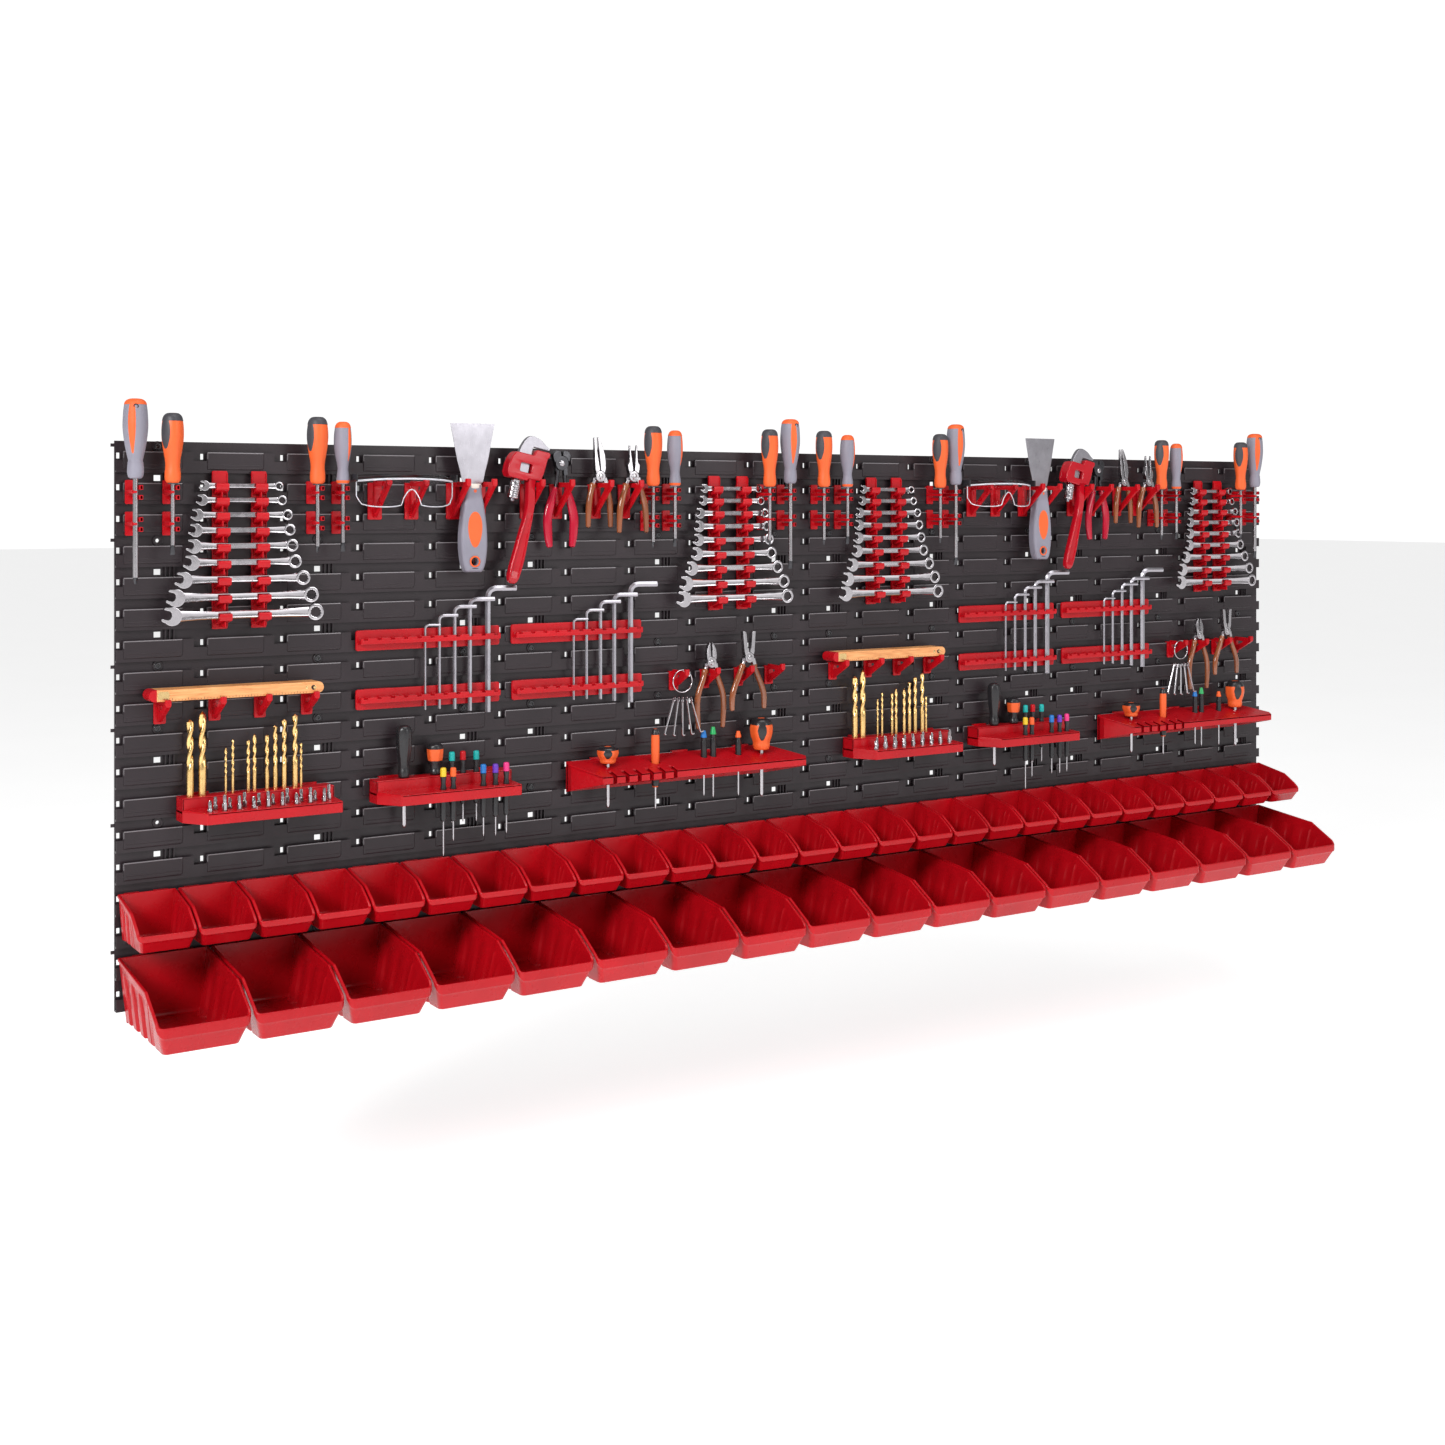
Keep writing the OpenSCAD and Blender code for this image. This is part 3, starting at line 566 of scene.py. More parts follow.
HOLE_X = [0.5 * NOTCH_PITCH, 2.5 * NOTCH_PITCH, 4.5 * NOTCH_PITCH]
HOLE_RAILS, SLOT_RAILS = (0, 3, 7), (1, 4, 6)
PEG_Z, BOLT_RAIL, SEAT_GAP = 6, 3, 0.05
PEG_L, SOCKET_L, FACE_D, HOLE_HALF = 5, 5.4, 9.5, 3.6


def panel_top(n):
    return PANEL_H - BAND_H - n * PITCH


def cells(xs, ds, zs, solid):
    """The surface of the solid cells between sorted cuts, as one clean shape."""
    xs, ds, zs = (sorted(set(round(v, 4) for v in c)) for c in (xs, ds, zs))
    mid = [np.array([(a + b) / 2 for a, b in zip(c, c[1:])]) for c in (xs, ds, zs)]
    X, D, Z = np.meshgrid(*mid, indexing="ij")
    full = np.zeros([n + 2 for n in X.shape], bool)
    full[1:-1, 1:-1, 1:-1] = solid(X, D, Z)
    ny, nz = len(ds), len(zs)
    s = Shape()
    s.v = [(x, -d, z) for x in xs for d in ds for z in zs]
    for axis in range(3):
        u, w = [(1, 2), (0, 2), (0, 1)][axis]
        for way in (0, 1):
            inner = full[1:-1, 1:-1, 1:-1]
            other = np.roll(full, 1 - 2 * way, axis)[1:-1, 1:-1, 1:-1]
            for c in np.argwhere(inner & ~other):
                base = c.copy()
                base[axis] += way
                quad = []
                for a, b in ((0, 0), (1, 0), (1, 1), (0, 1)):
                    q = base.copy()
                    q[u] += a
                    q[w] += b
                    quad.append(int((q[0] * ny + q[1]) * nz + q[2]))
                s.f.append(tuple(quad))
    s.m = [0] * len(s.f)
    used = sorted({i for f in s.f for i in f})
    new = {old: k for k, old in enumerate(used)}
    s.v = [s.v[i] for i in used]
    s.f = [tuple(new[i] for i in f) for f in s.f]
    return s


def panel_shape():
    tops = [panel_top(n) for n in range(RAILS)]
    xs, zs = [-PEG_L, 0, PANEL_W - SOCKET_L, PANEL_W], [0, PANEL_H]
    for c in range(NOTCHES + 1):
        xs += [x for x in (c * NOTCH_PITCH + o for o in (-13, -9, 2, 7, 9, 13)) if 0 < x < PANEL_W]
    fins = [9, 15, 21]
    for x in HOLE_X:
        xs += [x + o for o in (-5, 5, -HOLE_HALF, HOLE_HALF)]
        xs += [x + f + o for f in fins for o in (0, 1.6)]
    for t in tops:
        zs += [t, t - RAIL_H, t - RAIL_H + 2.5, t - 12, t - 10, t - 2, t - 25, t - 5, t - 6]
    for n in SLOT_RAILS:
        zs += [tops[n] + 3, tops[n] + 11]
    for n in HOLE_RAILS:
        zs += [tops[n] + PEG_Z + o for o in (-0.2, 0, 4.5, 4.7)]
        zs += [tops[n] + BAND_H / 2 + o for o in (-HOLE_HALF, HOLE_HALF)]
    ds = [0, 0.8, 1, 3, 3.2, SHEET_T, 8, FACE_D, 11]

    def solid(x, d, z):
        def box(x0, x1, d0, d1, z0, z1):
            return (x > x0) & (x < x1) & (d > d0) & (d < d1) & (z > z0) & (z < z1)

        s = box(0, PANEL_W, 0, SHEET_T, 0, PANEL_H)
        cut = np.zeros_like(s)
        for n, t in enumerate(tops):
            low, mid, peg = t - RAIL_H, t + BAND_H / 2, t + PEG_Z
            s |= box(0, PANEL_W, 0, RAIL_D, low, low + 2.5)
            s |= box(0, PANEL_W, FACE_D, RAIL_D, low, t)
            for c in range(NOTCHES + 1):
                m = c * NOTCH_PITCH
                cut |= box(m - 9, m + 9, 9, RAIL_D, t - 12, t)
                if c < NOTCHES:
                    cut |= box(m + 2, m + 7, 0, SHEET_T, t - 10, t - 2)
                    cut |= box(m + 13, m + NOTCH_PITCH - 13, 0, 1, t - 25, t - 5)
            for h in HOLE_X:
                if n in SLOT_RAILS:
                    cut |= box(h - 5, h + 5, 0, SHEET_T, t + 3, t + 11)
                    for f in fins:
                        s |= box(h + f, h + f + 1.6, 0, 8, t - 6, t + BAND_H)
                if n in HOLE_RAILS:
                    cut |= box(h - HOLE_HALF, h + HOLE_HALF, 0, SHEET_T,
                               mid - HOLE_HALF, mid + HOLE_HALF)
            if n in HOLE_RAILS:
                s |= box(-PEG_L, 0, 1, 3, peg, peg + 4.5)
                cut |= box(PANEL_W - SOCKET_L, PANEL_W, 0.8, 3.2, peg - 0.2, peg + 4.7)
        return s & ~cut

    s = cells(xs, ds, zs, solid).done(0.4, 2, dissolve=True)
    # Raised plates between the notches, each with its fine ribs
    length = NOTCH_PITCH - 9 - 25
    plate = prism(rounded(rect(0, length, -24.4, 0), [1.2, 5, 1.2, 1.2], 2), 10, RAIL_D,
                  FACING, 1.3, 3)
    rib = prism([(11.8, -0.5), (12.0, -0.5), (12.25, -0.15), (12.25, 0.15), (12.0, 0.5),
                 (11.8, 0.5)], 4, length - 3, SIDE)
    # The ridge along each plate's top edge and the step at its left end take material 1, the
    # lighter edge grey: a painted highlight
    edge = prism([(11.2, -1.3), (12.1, -1.3), (12.28, -1.0), (12.28, -0.35), (12.0, 0.15),
                  (11.2, 0.15)], 0.6, length - 1, SIDE, mat=1)
    step = prism([(0.1, -9.5), (0.9, -9.5), (0.9, -0.6), (0.1, -0.6)], 11.2, 12.27, FACING, mat=1)
    for t in tops:
        for c in range(NOTCHES):
            place = move(c * NOTCH_PITCH + 9.6, 0, t)
            s.put(plate, place)
            s.put(edge, place)
            s.put(step, place)
            for z in (-18.0, -22.6):
                s.put(rib, place @ move(0, 0.02, z))
    boss = turned([(2.75, 0.25), (5.7, 0.25), (5.7, 3.9), (7.6, 3.9), (7.6, 4.9), (7.0, 5.6),
                   (5.0, 5.7), (4.3, 5.2), (3.2, 5.2), (2.75, 4.8)], 24, closed=True)
    for n in HOLE_RAILS:
        for x in HOLE_X:
            s.put(boss, move(x, 0, tops[n] + BAND_H / 2) @ turn(90, "X"))
    return s


panel_mesh = None
for row, word in ((1, "top"), (0, "bottom")):
    for column in range(4):
        name = f"panel_{word}_{column + 1}"
        place = at(column * PANEL_W, row * PANEL_H)
        if panel_mesh is None:
            panel_mesh = piece(name + "_shown", panel_shape(), ["panel", "edge"], [name],
                               place=place).data
        else:
            piece(name + "_shown", None, ["panel"], [name], place=place, data=panel_mesh)


def hexed(r, z):
    """A ring on a hexagon of corner radius r."""
    flat = r * math.cos(math.pi / 6)
    return level_ring(z, lambda a: flat / math.cos(a % (math.pi / 3) - math.pi / 6))


def round_ring(r, z):
    return level_ring(z, lambda a: r)


def screw_shape():
    rings = [round_ring(r, z) for r, z in ((2.4, 0.4), (2.4, 5.0), (5.0, 5.0), (5.2, 5.3),
                                           (5.1, 6.0), (4.4, 6.5), (3.2, 6.6))]
    s = loft(rings + [hexed(2.3, 6.5), hexed(2.2, 5.4), hexed(0.6, 5.0)])
    s.put(turned([(2.7, 6.3), (2.8, 6.85), (3.6, 6.85), (3.8, 6.3)], 24, closed=True, mat=1))
    return s


screws, unit = Shape(), screw_shape()
for column in range(4):
    for row in (0, 1):
        for x in HOLE_X:
            for n in HOLE_RAILS:
                wall_x = column * PANEL_W + x
                if n == BOLT_RAIL and abs(wall_x - HALF_W) > HALF_W - NOTCH_PITCH:
                    continue
                screws.put(unit, at(wall_x, row * PANEL_H + panel_top(n) + BAND_H / 2)
                           @ turn(90, "X"))
piece("wall_screws_shown", screws, ["screw", "charcoal"], ["wall_screws"])

# ---- bins ----


def bin_shape(w, foot_w, d, h, break_d, break_z, lip_z, foot_d, grooves, pleat, lip_h, radius):
    top, wall, edge = 2.2, 2.2, 1.9
    bottom = top - h
    shrink = (foot_d - FRONT) / (d - FRONT)
    tops = [(FRONT, top), (break_d - 9, top + (break_z - top) * (break_d - 9 - FRONT)
             / (break_d - FRONT) + 0.8), (break_d - 3, break_z + 1.6), (break_d + 2, break_z - 1.4),
            (d - 8, lip_z + 6.5), (d - 5, lip_z + 3), (d - 2.5, lip_z + 0.8), (d, lip_z)]
    # Going round: place across from -1 to 1, depth at the top, pleat, outward direction
    side = [(FRONT + 1, 0)]
    for a, b in grooves:
        side += [(a - 0.9, 0), (a + 0.9, 1), (b - 0.9, 1), (b + 0.9, 0)]
    side += [(p, 0) for p, _ in tops[1:4]] + [(d - radius - 6, 0), (d - radius, 0)]
    side = sorted(set(side))
    hw = w / 2 - edge
    walk = [(-1, dt, g, -1, 0) for dt, g in side]
    for k in range(1, 5):
        a = k / 5 * math.pi / 2
        walk.append((-(hw - radius + radius * math.cos(a)) / hw,
                     d - radius + radius * math.sin(a), 0, -math.cos(a), math.sin(a)))
    walk += [(u * (hw - radius) / hw, d, 0, 0, 1) for u in (-1, -0.5, 0, 0.5, 1)]
    walk += [(-u, dt, g, -nx, nd) for u, dt, g, nx, nd in walk[len(side) + 3:len(side) - 1:-1]]
    walk += [(1, dt, g, 1, 0) for dt, g in reversed(side)]
    walk += [(u, FRONT, 0, 0, -1) for u in (1, 0.5, 0, -0.5, -1)]

    def ring(t, out, drop_side, drop_front, fold):
        points = []
        for u, dt, g, nx, nd in walk:
            f = max(nd, 0.0)
            zt = np.interp(dt, [p for p, _ in tops], [q for _, q in tops])
            zt -= drop_side * (1 - f) + drop_front * f
            half = hw + (foot_w / 2 - hw) * t
            x = u * half + nx * (out - g * fold * pleat)
            depth = FRONT + (dt - FRONT) * (d - edge - FRONT) / (d - FRONT) \
                * (1 + (shrink - 1) * t) + nd * (out if nd > 0 else min(out, 0.0))
            points.append((x, -depth, zt + (bottom - zt) * t))
        return points

    s = loft([
        ring(1, -2.2, 0, 0, 1), ring(0.985, -0.5, 0, 0, 1), ring(0.95, 0, 0, 0, 0.95),
        ring(0.2, 0, 4, lip_h, 0.42), ring(0.13, 0, 4, lip_h, 0), ring(0, 0, 4.6, lip_h + 0.6, 0),
        ring(0, edge - 0.5, 4.3, lip_h + 0.2, 0), ring(0, edge, 3.6, lip_h - 0.8, 0),
        ring(0, edge, 1.2, 1.4, 0), ring(0, edge - 0.5, 0.3, 0.4, 0), ring(0, edge - 1.4, 0, 0, 0),
        ring(0, 0.8 - wall, 0, 0, 0), ring(0, 0.2 - wall, 0.3, 0.3, 0),
        ring(0, -wall, 1.1, 1.1, 0), ring(0.13, -wall, 3, 3, 0), ring(0.2, -wall, 3, 3, 0.42),
        ring(0.9, -wall, 0, 0, 0.95), ring(0.955, -wall - 1.2, 0, 0, 1),
        [(p[0], p[1], bottom + wall) for p in ring(1, -wall - 3.4, 0, 0, 1)]])
    back = RAIL_D - 2.5
    for x in (-w / 4, w / 4):
        s.put(prism([(FRONT + 1.1, 0), (FRONT + 1.1, top), (back - 2.4, top), (back - 2.4, -8),
                     (back - 0.4, -8), (back - 0.4, 0)], x - 10, x + 10, SIDE))
    # Low ribs under the foot, where bins stack on each other
    for x in (-foot_w / 2 + 9, foot_w / 2 - 9):
        s.put(block(x - 1.2, x + 1.2, FRONT + 12, foot_d - 12, bottom + 0.02, bottom + 1.4, 0.4))
    return s


small_bin = bin_shape(80, 66, 116, 63, 82, -13, -36, 105,
                      [(25, 37), (48, 60), (71, 82)], 3.6, 8, 6)
large_bin = bin_shape(125, 101, 205, 90, 150, -15, -49, 191,
                      [(33, 53), (70, 91), (108, 129), (147, 166)], 5.5, 13, 9)
for word, unit, count, rail in (("small", small_bin, 28, 14), ("large", large_bin, 18, 16)):
    row_shape = Shape()
    free_mesh = None
    for i in range(count):
        place = at((i + 0.5) * 4 * PANEL_W / count, rail_top(rail) + SEAT_GAP)
        if i >= 3:
            row_shape.put(unit, place)
            continue
        name = f"{word}_bin_{i + 1}"
        ob = piece(name + "_shown", unit, ["red"], [name], name, place, free_mesh)
        free_mesh = ob.data
    piece(f"{word}_bins_shown", row_shape, ["red"], [f"{word}_bins"])

# ---- screwdrivers and their clips ----

# Kinds of screwdriver: height of the grip's foot, height of the tip, shaft radius
LARGE, PLAIN, SLIM = (728, 585, 3.5), (722, 624, 3), (722, 625, 3)
DRIVERS = [(17, LARGE), (67, PLAIN), (273, PLAIN), (311, SLIM), (831, PLAIN), (872, SLIM),
           (1057, PLAIN), (1099, LARGE), (1169, PLAIN), (1219, SLIM), (1425, PLAIN), (1461, LARGE),
           (1983, PLAIN), (2024, SLIM), (2209, PLAIN), (2251, LARGE)]
DRIVER_D = 45.0


# Prongs as side, height of the lower edge, height
THREE_PRONGS = ((1, -9.5, 6), (1, -23, 6), (-1, -15, 4.8))
FLAT_PRONGS = ((1, -13, 4), (-1, -13, 4))
BESIDE_RACKS = (1057, 2209)
PRONG_D = DRIVER_D + 5


def clip_shape(r, prongs):
    inner = r + 0.4
    s = prism(rounded(rect(-inner - 2, inner + 5, -29, 4), 1.8), FRONT, FRONT + PLATE_T,
              FACING, 0.8)
    s.put(rail_hook(8))
    root = FRONT + PLATE_T - 0.5
    for side, low, tall in prongs:
        x0, x1 = (inner, inner + 5) if side > 0 else (-inner - 2, -inner)
        s.put(block(x0, x1, root, PRONG_D, low, low + tall, 0.75))
        if side < 0:
            s.put(block(x0 + 0.3, 0.8, PRONG_D - 1.2, PRONG_D, low + 0.8, low + tall - 0.8, 0.4))
        else:
            s.put(block(x0 + 0.3, x1 + 0.4, PRONG_D - 4.5, PRONG_D, low - 0.3, low + tall + 0.3,
                        1.2))
    return s


clips = Shape()
for r in (3.0, 3.5):
    full, flat = clip_shape(r, THREE_PRONGS), clip_shape(r, FLAT_PRONGS)
    for x, kind in DRIVERS:
        if kind[2] == r:
            for n in (1, 2):
                clips.put(flat if n == 2 and x in BESIDE_RACKS else full, at(x, rail_top(n)))
piece("screwdriver_clips_shown", clips, ["red"], ["screwdriver_clips"])


class Grip:
    """A handle's surface: radius at an angle and a share t of its height, with soft flats."""

    def __init__(self, profile, h, r, lobes=4, depth=0.05, phase=0.0):
        curve = spline(profile, 5)
        self.t, self.r = [p[0] for p in curve], [p[1] * r for p in curve]
        self.h, self.lobes, self.depth, self.phase = h, lobes, depth, phase

    def point(self, a, t, lift=0.0):
        base = float(np.interp(t, self.t, self.r))
        share = min(max((t - 0.15) / 0.8, 0), 1)
        swell = math.sin(math.pi * share) ** 0.5 if 0.15 < t < 0.95 else 0
        lobe = 1 - math.cos(self.lobes * (a - self.phase))
        r = base * (1 - self.depth * swell * lobe / 2) + lift
        return (r * math.cos(a), r * math.sin(a), t * self.h)

    def body(self, mat=0, t0=0.0, t1=1.0, n=36, lift=0.0):
        rows = [t for t in self.t if t0 < t < t1]
        rings = [[self.point(TAU * k / n, t, lift) for k in range(n)] for t in [t0] + rows + [t1]]
        return loft(rings, mat=mat)

    def inlay(self, centre, half, t0, t1, mat, lift=0.45, n=10, rows=16):
        """A raised patch round an angle; half gives its half angle at a share of its length."""
        outer, inner = [], []
        for j in range(rows + 1):
            s = j / rows
            t, w = t0 + (t1 - t0) * s, max(half(s), 0.01)
            row, low = [], []
            for k in range(n + 1):
                a = centre + w * (2 * k / n - 1)
                rim = min(k, n - k, j * 0.8, (rows - j) * 0.8)
                row.append(self.point(a, t, lift * min(1, rim / 1.2) - 0.12))
                low.append(self.point(a, t, -1.0))
            outer.append(row)
            inner.append(low)
        s, m = Shape(), n + 1
        s.v = [p for row in outer for p in row] + [p for row in inner for p in row]
        base = (rows + 1) * m
        for j in range(rows):
            for k in range(n):
                a = j * m + k
                s.f.append((a, a + 1, a + m + 1, a + m))
                s.f.append((base + a, base + a + m, base + a + m + 1, base + a + 1))
        rim = list(range(m)) + [j * m + n for j in range(1, rows + 1)] \
            + [rows * m + k for k in range(n - 1, -1, -1)] + [j * m for j in range(rows - 1, 0, -1)]
        for i, a in enumerate(rim):
            b = rim[(i + 1) % len(rim)]
            s.f.append((a, base + a, base + b, b))
        s.m = [mat] * len(s.f)
        return s.done()


FACE = -math.pi / 2  # the angle that faces the front


def leaf(wide, start, stretch, power):
    """The half angle of a leaf-shaped patch, at a share of its length."""
    return lambda u: wide * math.sin(math.pi * (start + (1 - start) * u) / stretch) ** power


def large_handle():
    g = Grip([(0, 0.42), (0.02, 0.56), (0.08, 0.64), (0.18, 0.62), (0.22, 0.58), (0.26, 0.62),
              (0.42, 0.84), (0.62, 1.0), (0.78, 0.98), (0.9, 0.9), (0.96, 0.78), (0.99, 0.55),
              (1.0, 0.3)], 108, 17, 3, 0.06, FACE)
    s = g.body(0)
    s.put(g.inlay(FACE - 0.35, leaf(0.34, 0.08, 1.3, 0.8), 0.3, 0.95, 1))
    s.put(g.body(1, 0.925, 0.999, lift=0.35))
    s.put(turned([(6.5, 20.6), (10.4, 20.8), (10.4, 22.0), (6.5, 22.2)], 36, closed=True, mat=0))
    # Hanging hole through the end
    eye = turned([(2.2, -15.6), (3.4, -15.4), (3.6, -14.4), (3.2, -13.2), (2.2, -13.0)], 20,
                 closed=True, mat=2)
    s.put(eye, move(0, 0, 97) @ turn(-90, "X"))
    return s


def plain_handle():
    g = Grip([(0, 0.4), (0.02, 0.6), (0.06, 0.7), (0.14, 0.71), (0.24, 0.66), (0.34, 0.7),
              (0.46, 0.84), (0.62, 0.98), (0.76, 1.0), (0.88, 0.93), (0.95, 0.8), (0.99, 0.55),
              (1.0, 0.3)], 96, 15, 4, 0.07, FACE)
    s = g.body(0)
    s.put(g.body(1, 0.885, 0.999, lift=0.35))
    for side in (FACE - 1.1, FACE + math.pi - 1.1):
        s.put(g.inlay(side, leaf(0.62, 0.04, 1.15, 0.7), 0.48, 0.93, 1))
    s.put(turned([(3.2, -1.2), (6.4, -1.2), (6.8, 0.2), (3.2, 0.6)], 24, closed=True, mat=1))
    return s


def slim_handle():
    g = Grip([(0, 0.45), (0.02, 0.62), (0.07, 0.72), (0.16, 0.66), (0.24, 0.6), (0.34, 0.68),
              (0.48, 0.88), (0.62, 1.0), (0.78, 0.98), (0.9, 0.88), (0.96, 0.72), (0.99, 0.5),
              (1.0, 0.28)], 90, 13, 3, 0.06, FACE)
    s = g.body(0)
    s.put(g.body(1, 0.9, 0.999, lift=0.35))
    s.put(g.body(1, 0.015, 0.06, lift=0.35))
    s.put(g.inlay(FACE + 0.5, leaf(0.3, 0.05, 1.2, 0.8), 0.36, 0.93, 1))
    return s


def shaft_shape(kind, flat):
    length, r = kind[0] - kind[1] + 20, kind[2]
    if flat:
        blade = [(0.25, 1.15, 0), (0.5, 1.2, 3), (0.8, 1.15, 8), (1, 1, 13)]
    else:
        blade = [(0.3, 0.3, 0), (0.55, 0.55, 1.5), (0.8, 0.8, 6), (1, 1, 9)]
    rings = []
    for thin, wide, z in blade + [(1, 1, length - 0.5), (0.9, 0.9, length)]:
        ring = []
        for k in range(20):
            a = TAU * k / 20
            cross = 1.0 if flat or z > 6 else 1 - 0.45 * abs(math.sin(2 * a)) ** 1.5
            ring.append((r * wide * cross * math.cos(a), r * thin * cross * math.sin(a), z))
        rings.append(ring)
    s = loft(rings)
    for i, p in enumerate(s.f):
        if max(s.v[k][2] for k in p) < 14:
            s.m[i] = 1
    return s


handle_sets = {"large": (LARGE, large_handle, ["grey", "orange", "black"]),
               "plain": (PLAIN, plain_handle, ["orange", "charcoal"]),
               "slim": (SLIM, slim_handle, ["grey", "orange"])}
shafts = Shape()
for word, (kind, make, looks) in handle_sets.items():
    group, unit = Shape(), make()
    blades = [shaft_shape(kind, flat) for flat in (False, True)]
    for i, (x, k) in enumerate(DRIVERS):
        if k is kind:
            group.put(unit, at(x, kind[0], DRIVER_D) @ turn((i * 37) % 24 - 12, "Z"))
            shafts.put(blades[i % 2], at(x, kind[1], DRIVER_D))
    piece(f"screwdriver_handles_{word}", group, looks, ["screwdriver_handles"])
piece("screwdriver_shafts_shown", shafts, ["steel", "dark_steel"], ["screwdriver_shafts"])

# ---- wrench racks and combination wrenches ----

RACK_X, RACK_SPREAD = (169.5, 994.0), 56.0
LENGTHS = [120, 129, 145, 152, 159, 168, 192, 216, 229]
WRENCH_T = 5.0


def wrench_z(i):
    return 719 - 19.6 * i - 0.36 * i * i


def wrench_depth(i):
    return 24 + 1.8 * i


def wrench_bar(i):
    return 7 + 0.45 * i


def rack_shape():
    """z from the wall's lower edge."""
    s = prism(rounded(rect(-11, 11, 518, 740), 2.0), FRONT, FRONT + PLATE_T, FACING, 0.9)
    s.put(rail_hook(16), move(0, 0, rail_top(1)))
    for x in (-10.3, 10.3):
        s.put(block(x - 0.7, x + 0.7, FRONT + 2, FRONT + 4.6, 521, 737, 0.4))
    for i in range(9):
        f = wrench_z(i) - wrench_bar(i) / 2 - 0.1
        lip = wrench_depth(i) + WRENCH_T / 2 + 0.4
        claw = [(15.2, f - 9.5), (15.2, f), (17, f - 0.2), (lip - 2.4, f - 0.1),
                (lip - 0.7, f + 0.5), (lip, f + 1.9), (lip + 0.5, f + 6), (lip + 1.8, f + 7.2),
                (lip + 3.4, f + 6.6), (lip + 4, f + 4.4), (lip + 3.7, f + 0.6), (lip + 2, f - 2.9),
                (0.5 * lip + 9, f - 6.2), (18.5, f - 8.4)]
        s.put(prism(claw, -9, 9, SIDE, 1.0))
        s.put(block(-1.0, 1.0, 15, lip - 1, f - 12.5, f - 4, 0.5))
    return s


unit = rack_shape()
strips = [(unit, x + s * RACK_SPREAD, 0, 0) for x in RACK_X for s in (-0.5, 0.5)]
piece("wrench_racks_shown", in_halves(*strips), ["red"], ["wrench_racks"])


def bar_section(*quarter):
    """All round a bar's section from one quarter of it, widest point first."""
    back = quarter[::-1]
    return ([(-quarter[0][0], -quarter[0][1])] + [(-x, y) for x, y in quarter]
            + [(x, y) for x, y in back] + [(x, -y) for x, y in quarter]
            + [(-x, -y) for x, y in back[:-1]])


def wrench_shape(i):
    length, bar = LENGTHS[i], wrench_bar(i)
    R, q = 7.3 + 0.72 * i, 6.6 + 0.68 * i
    half = WRENCH_T / 2
    # Open end: two prongs on a round head, tilted
    head = [(R * math.cos(a), R * math.sin(a))
            for a in (math.radians(122 - 244 * k / 22) for k in range(23))]
    prong = [(-0.92, 0.77), (-1.04, 0.66), (-1.05, 0.55), (-0.98, 0.47), (-0.36, 0.46),
             (-0.16, 0.3)]
    head += [(x * R, -z * R) for x, z in prong] + [(-0.08 * R, 0)]
    head += [(x * R, z * R) for x, z in reversed(prong)]
    c, sn = math.cos(math.radians(-15)), math.sin(math.radians(-15))
    head = [(x * c - z * sn + R - length / 2, x * sn + z * c) for x, z in head]
    s = prism(head, -half, half, FACING, 0.8)
    # Ring end
    cx = length / 2 - q
    teeth = [(0.64 * q if k % 2 else 0.56 * q) for k in range(24)]
    hole = [(cx + teeth[k] * math.cos(TAU * k / 24), teeth[k] * math.sin(TAU * k / 24))
            for k in range(24)]
    s.put(prism(circle(q, 36, cx), -half, half, FACING, 0.9, holes=[hole]))
    # Bar: a rounded section with a sunk panel on each face, wider towards the heads
    rings, n = [], 7
    for k in range(n + 1):
        u = k / n
        x = -length / 2 + 1.72 * R + (length - 1.72 * R - 1.75 * q) * u
        flare = 1 + 0.35 * (abs(2 * u - 1) ** 4)
        b, t, sunk = bar / 2 * flare, 2.1, 0.55 if 0 < k < n else 0.0
        sec = bar_section((b, 0.5 * t), (0.82 * b, t), (0.62 * b, t), (0.5 * b, t - sunk))
        rings.append([(x, y, z) for z, y in sec])
    s.put(loft(rings))
    return s


wrenches = Shape()
for i in range(9):
    unit = wrench_shape(i)
    for h in HALVES:
        for x in RACK_X:
            wrenches.put(unit, at(x + h, wrench_z(i), wrench_depth(i)))
piece("combination_wrenches_shown", wrenches, ["chrome"], ["combination_wrenches"])

# ---- hooks ----

HOOK_X = [372, 430, 497, 540, 621, 672, 741, 795]
SMALL_HOOK_X = [58, 134, 199, 268, 888, 948, 1015, 1076]
HOOK_REACH = 72.0


def hook_shape(base_w, reach, foot, knob):
    s = prism(rounded(rect(-base_w / 2, base_w / 2, foot, 2.2), 2.5), FRONT, FRONT + PLATE_T,
              FACING, 0.9)
    s.put(rail_hook(base_w - 4))
    root = FRONT + PLATE_T - 0.4
    outer = rounded([(root, 5), (reach - 9, 4.2), (reach - 6.5, 4 + knob), (reach, 4 + knob),
                     (reach, -2), (reach - 6, -6), (root + 2, foot + 3), (root, foot + 3)],
                    [0, 3, 1.6, 1.8, 2.4, 4, 1, 0])
    inner = rounded([(root + 4.4, -3), (reach - 17, -3), (root + 4.4, foot + 17)], [2, 2.5, 2])
    s.put(prism(outer, -3, 3, SIDE, 1.1, holes=[inner]))
    # Knob at the end, a little wider than the arm
    s.put(block(-4.2, 4.2, reach - 6.4, reach - 0.1, -1.5, 4 + knob, 1.5))
    return s


for word, places, rail, unit in (
        ("tool", HOOK_X, 1, hook_shape(22, HOOK_REACH, -52, 5)),
        ("small", SMALL_HOOK_X, 8, hook_shape(17, 58, -29, 4))):
    group = in_halves(*[(unit, x, rail_top(rail), 0) for x in places])
    piece(f"{word}_hooks_shown", group, ["red"], [f"{word}_hooks"])

# ---- hex keys and their rails ----

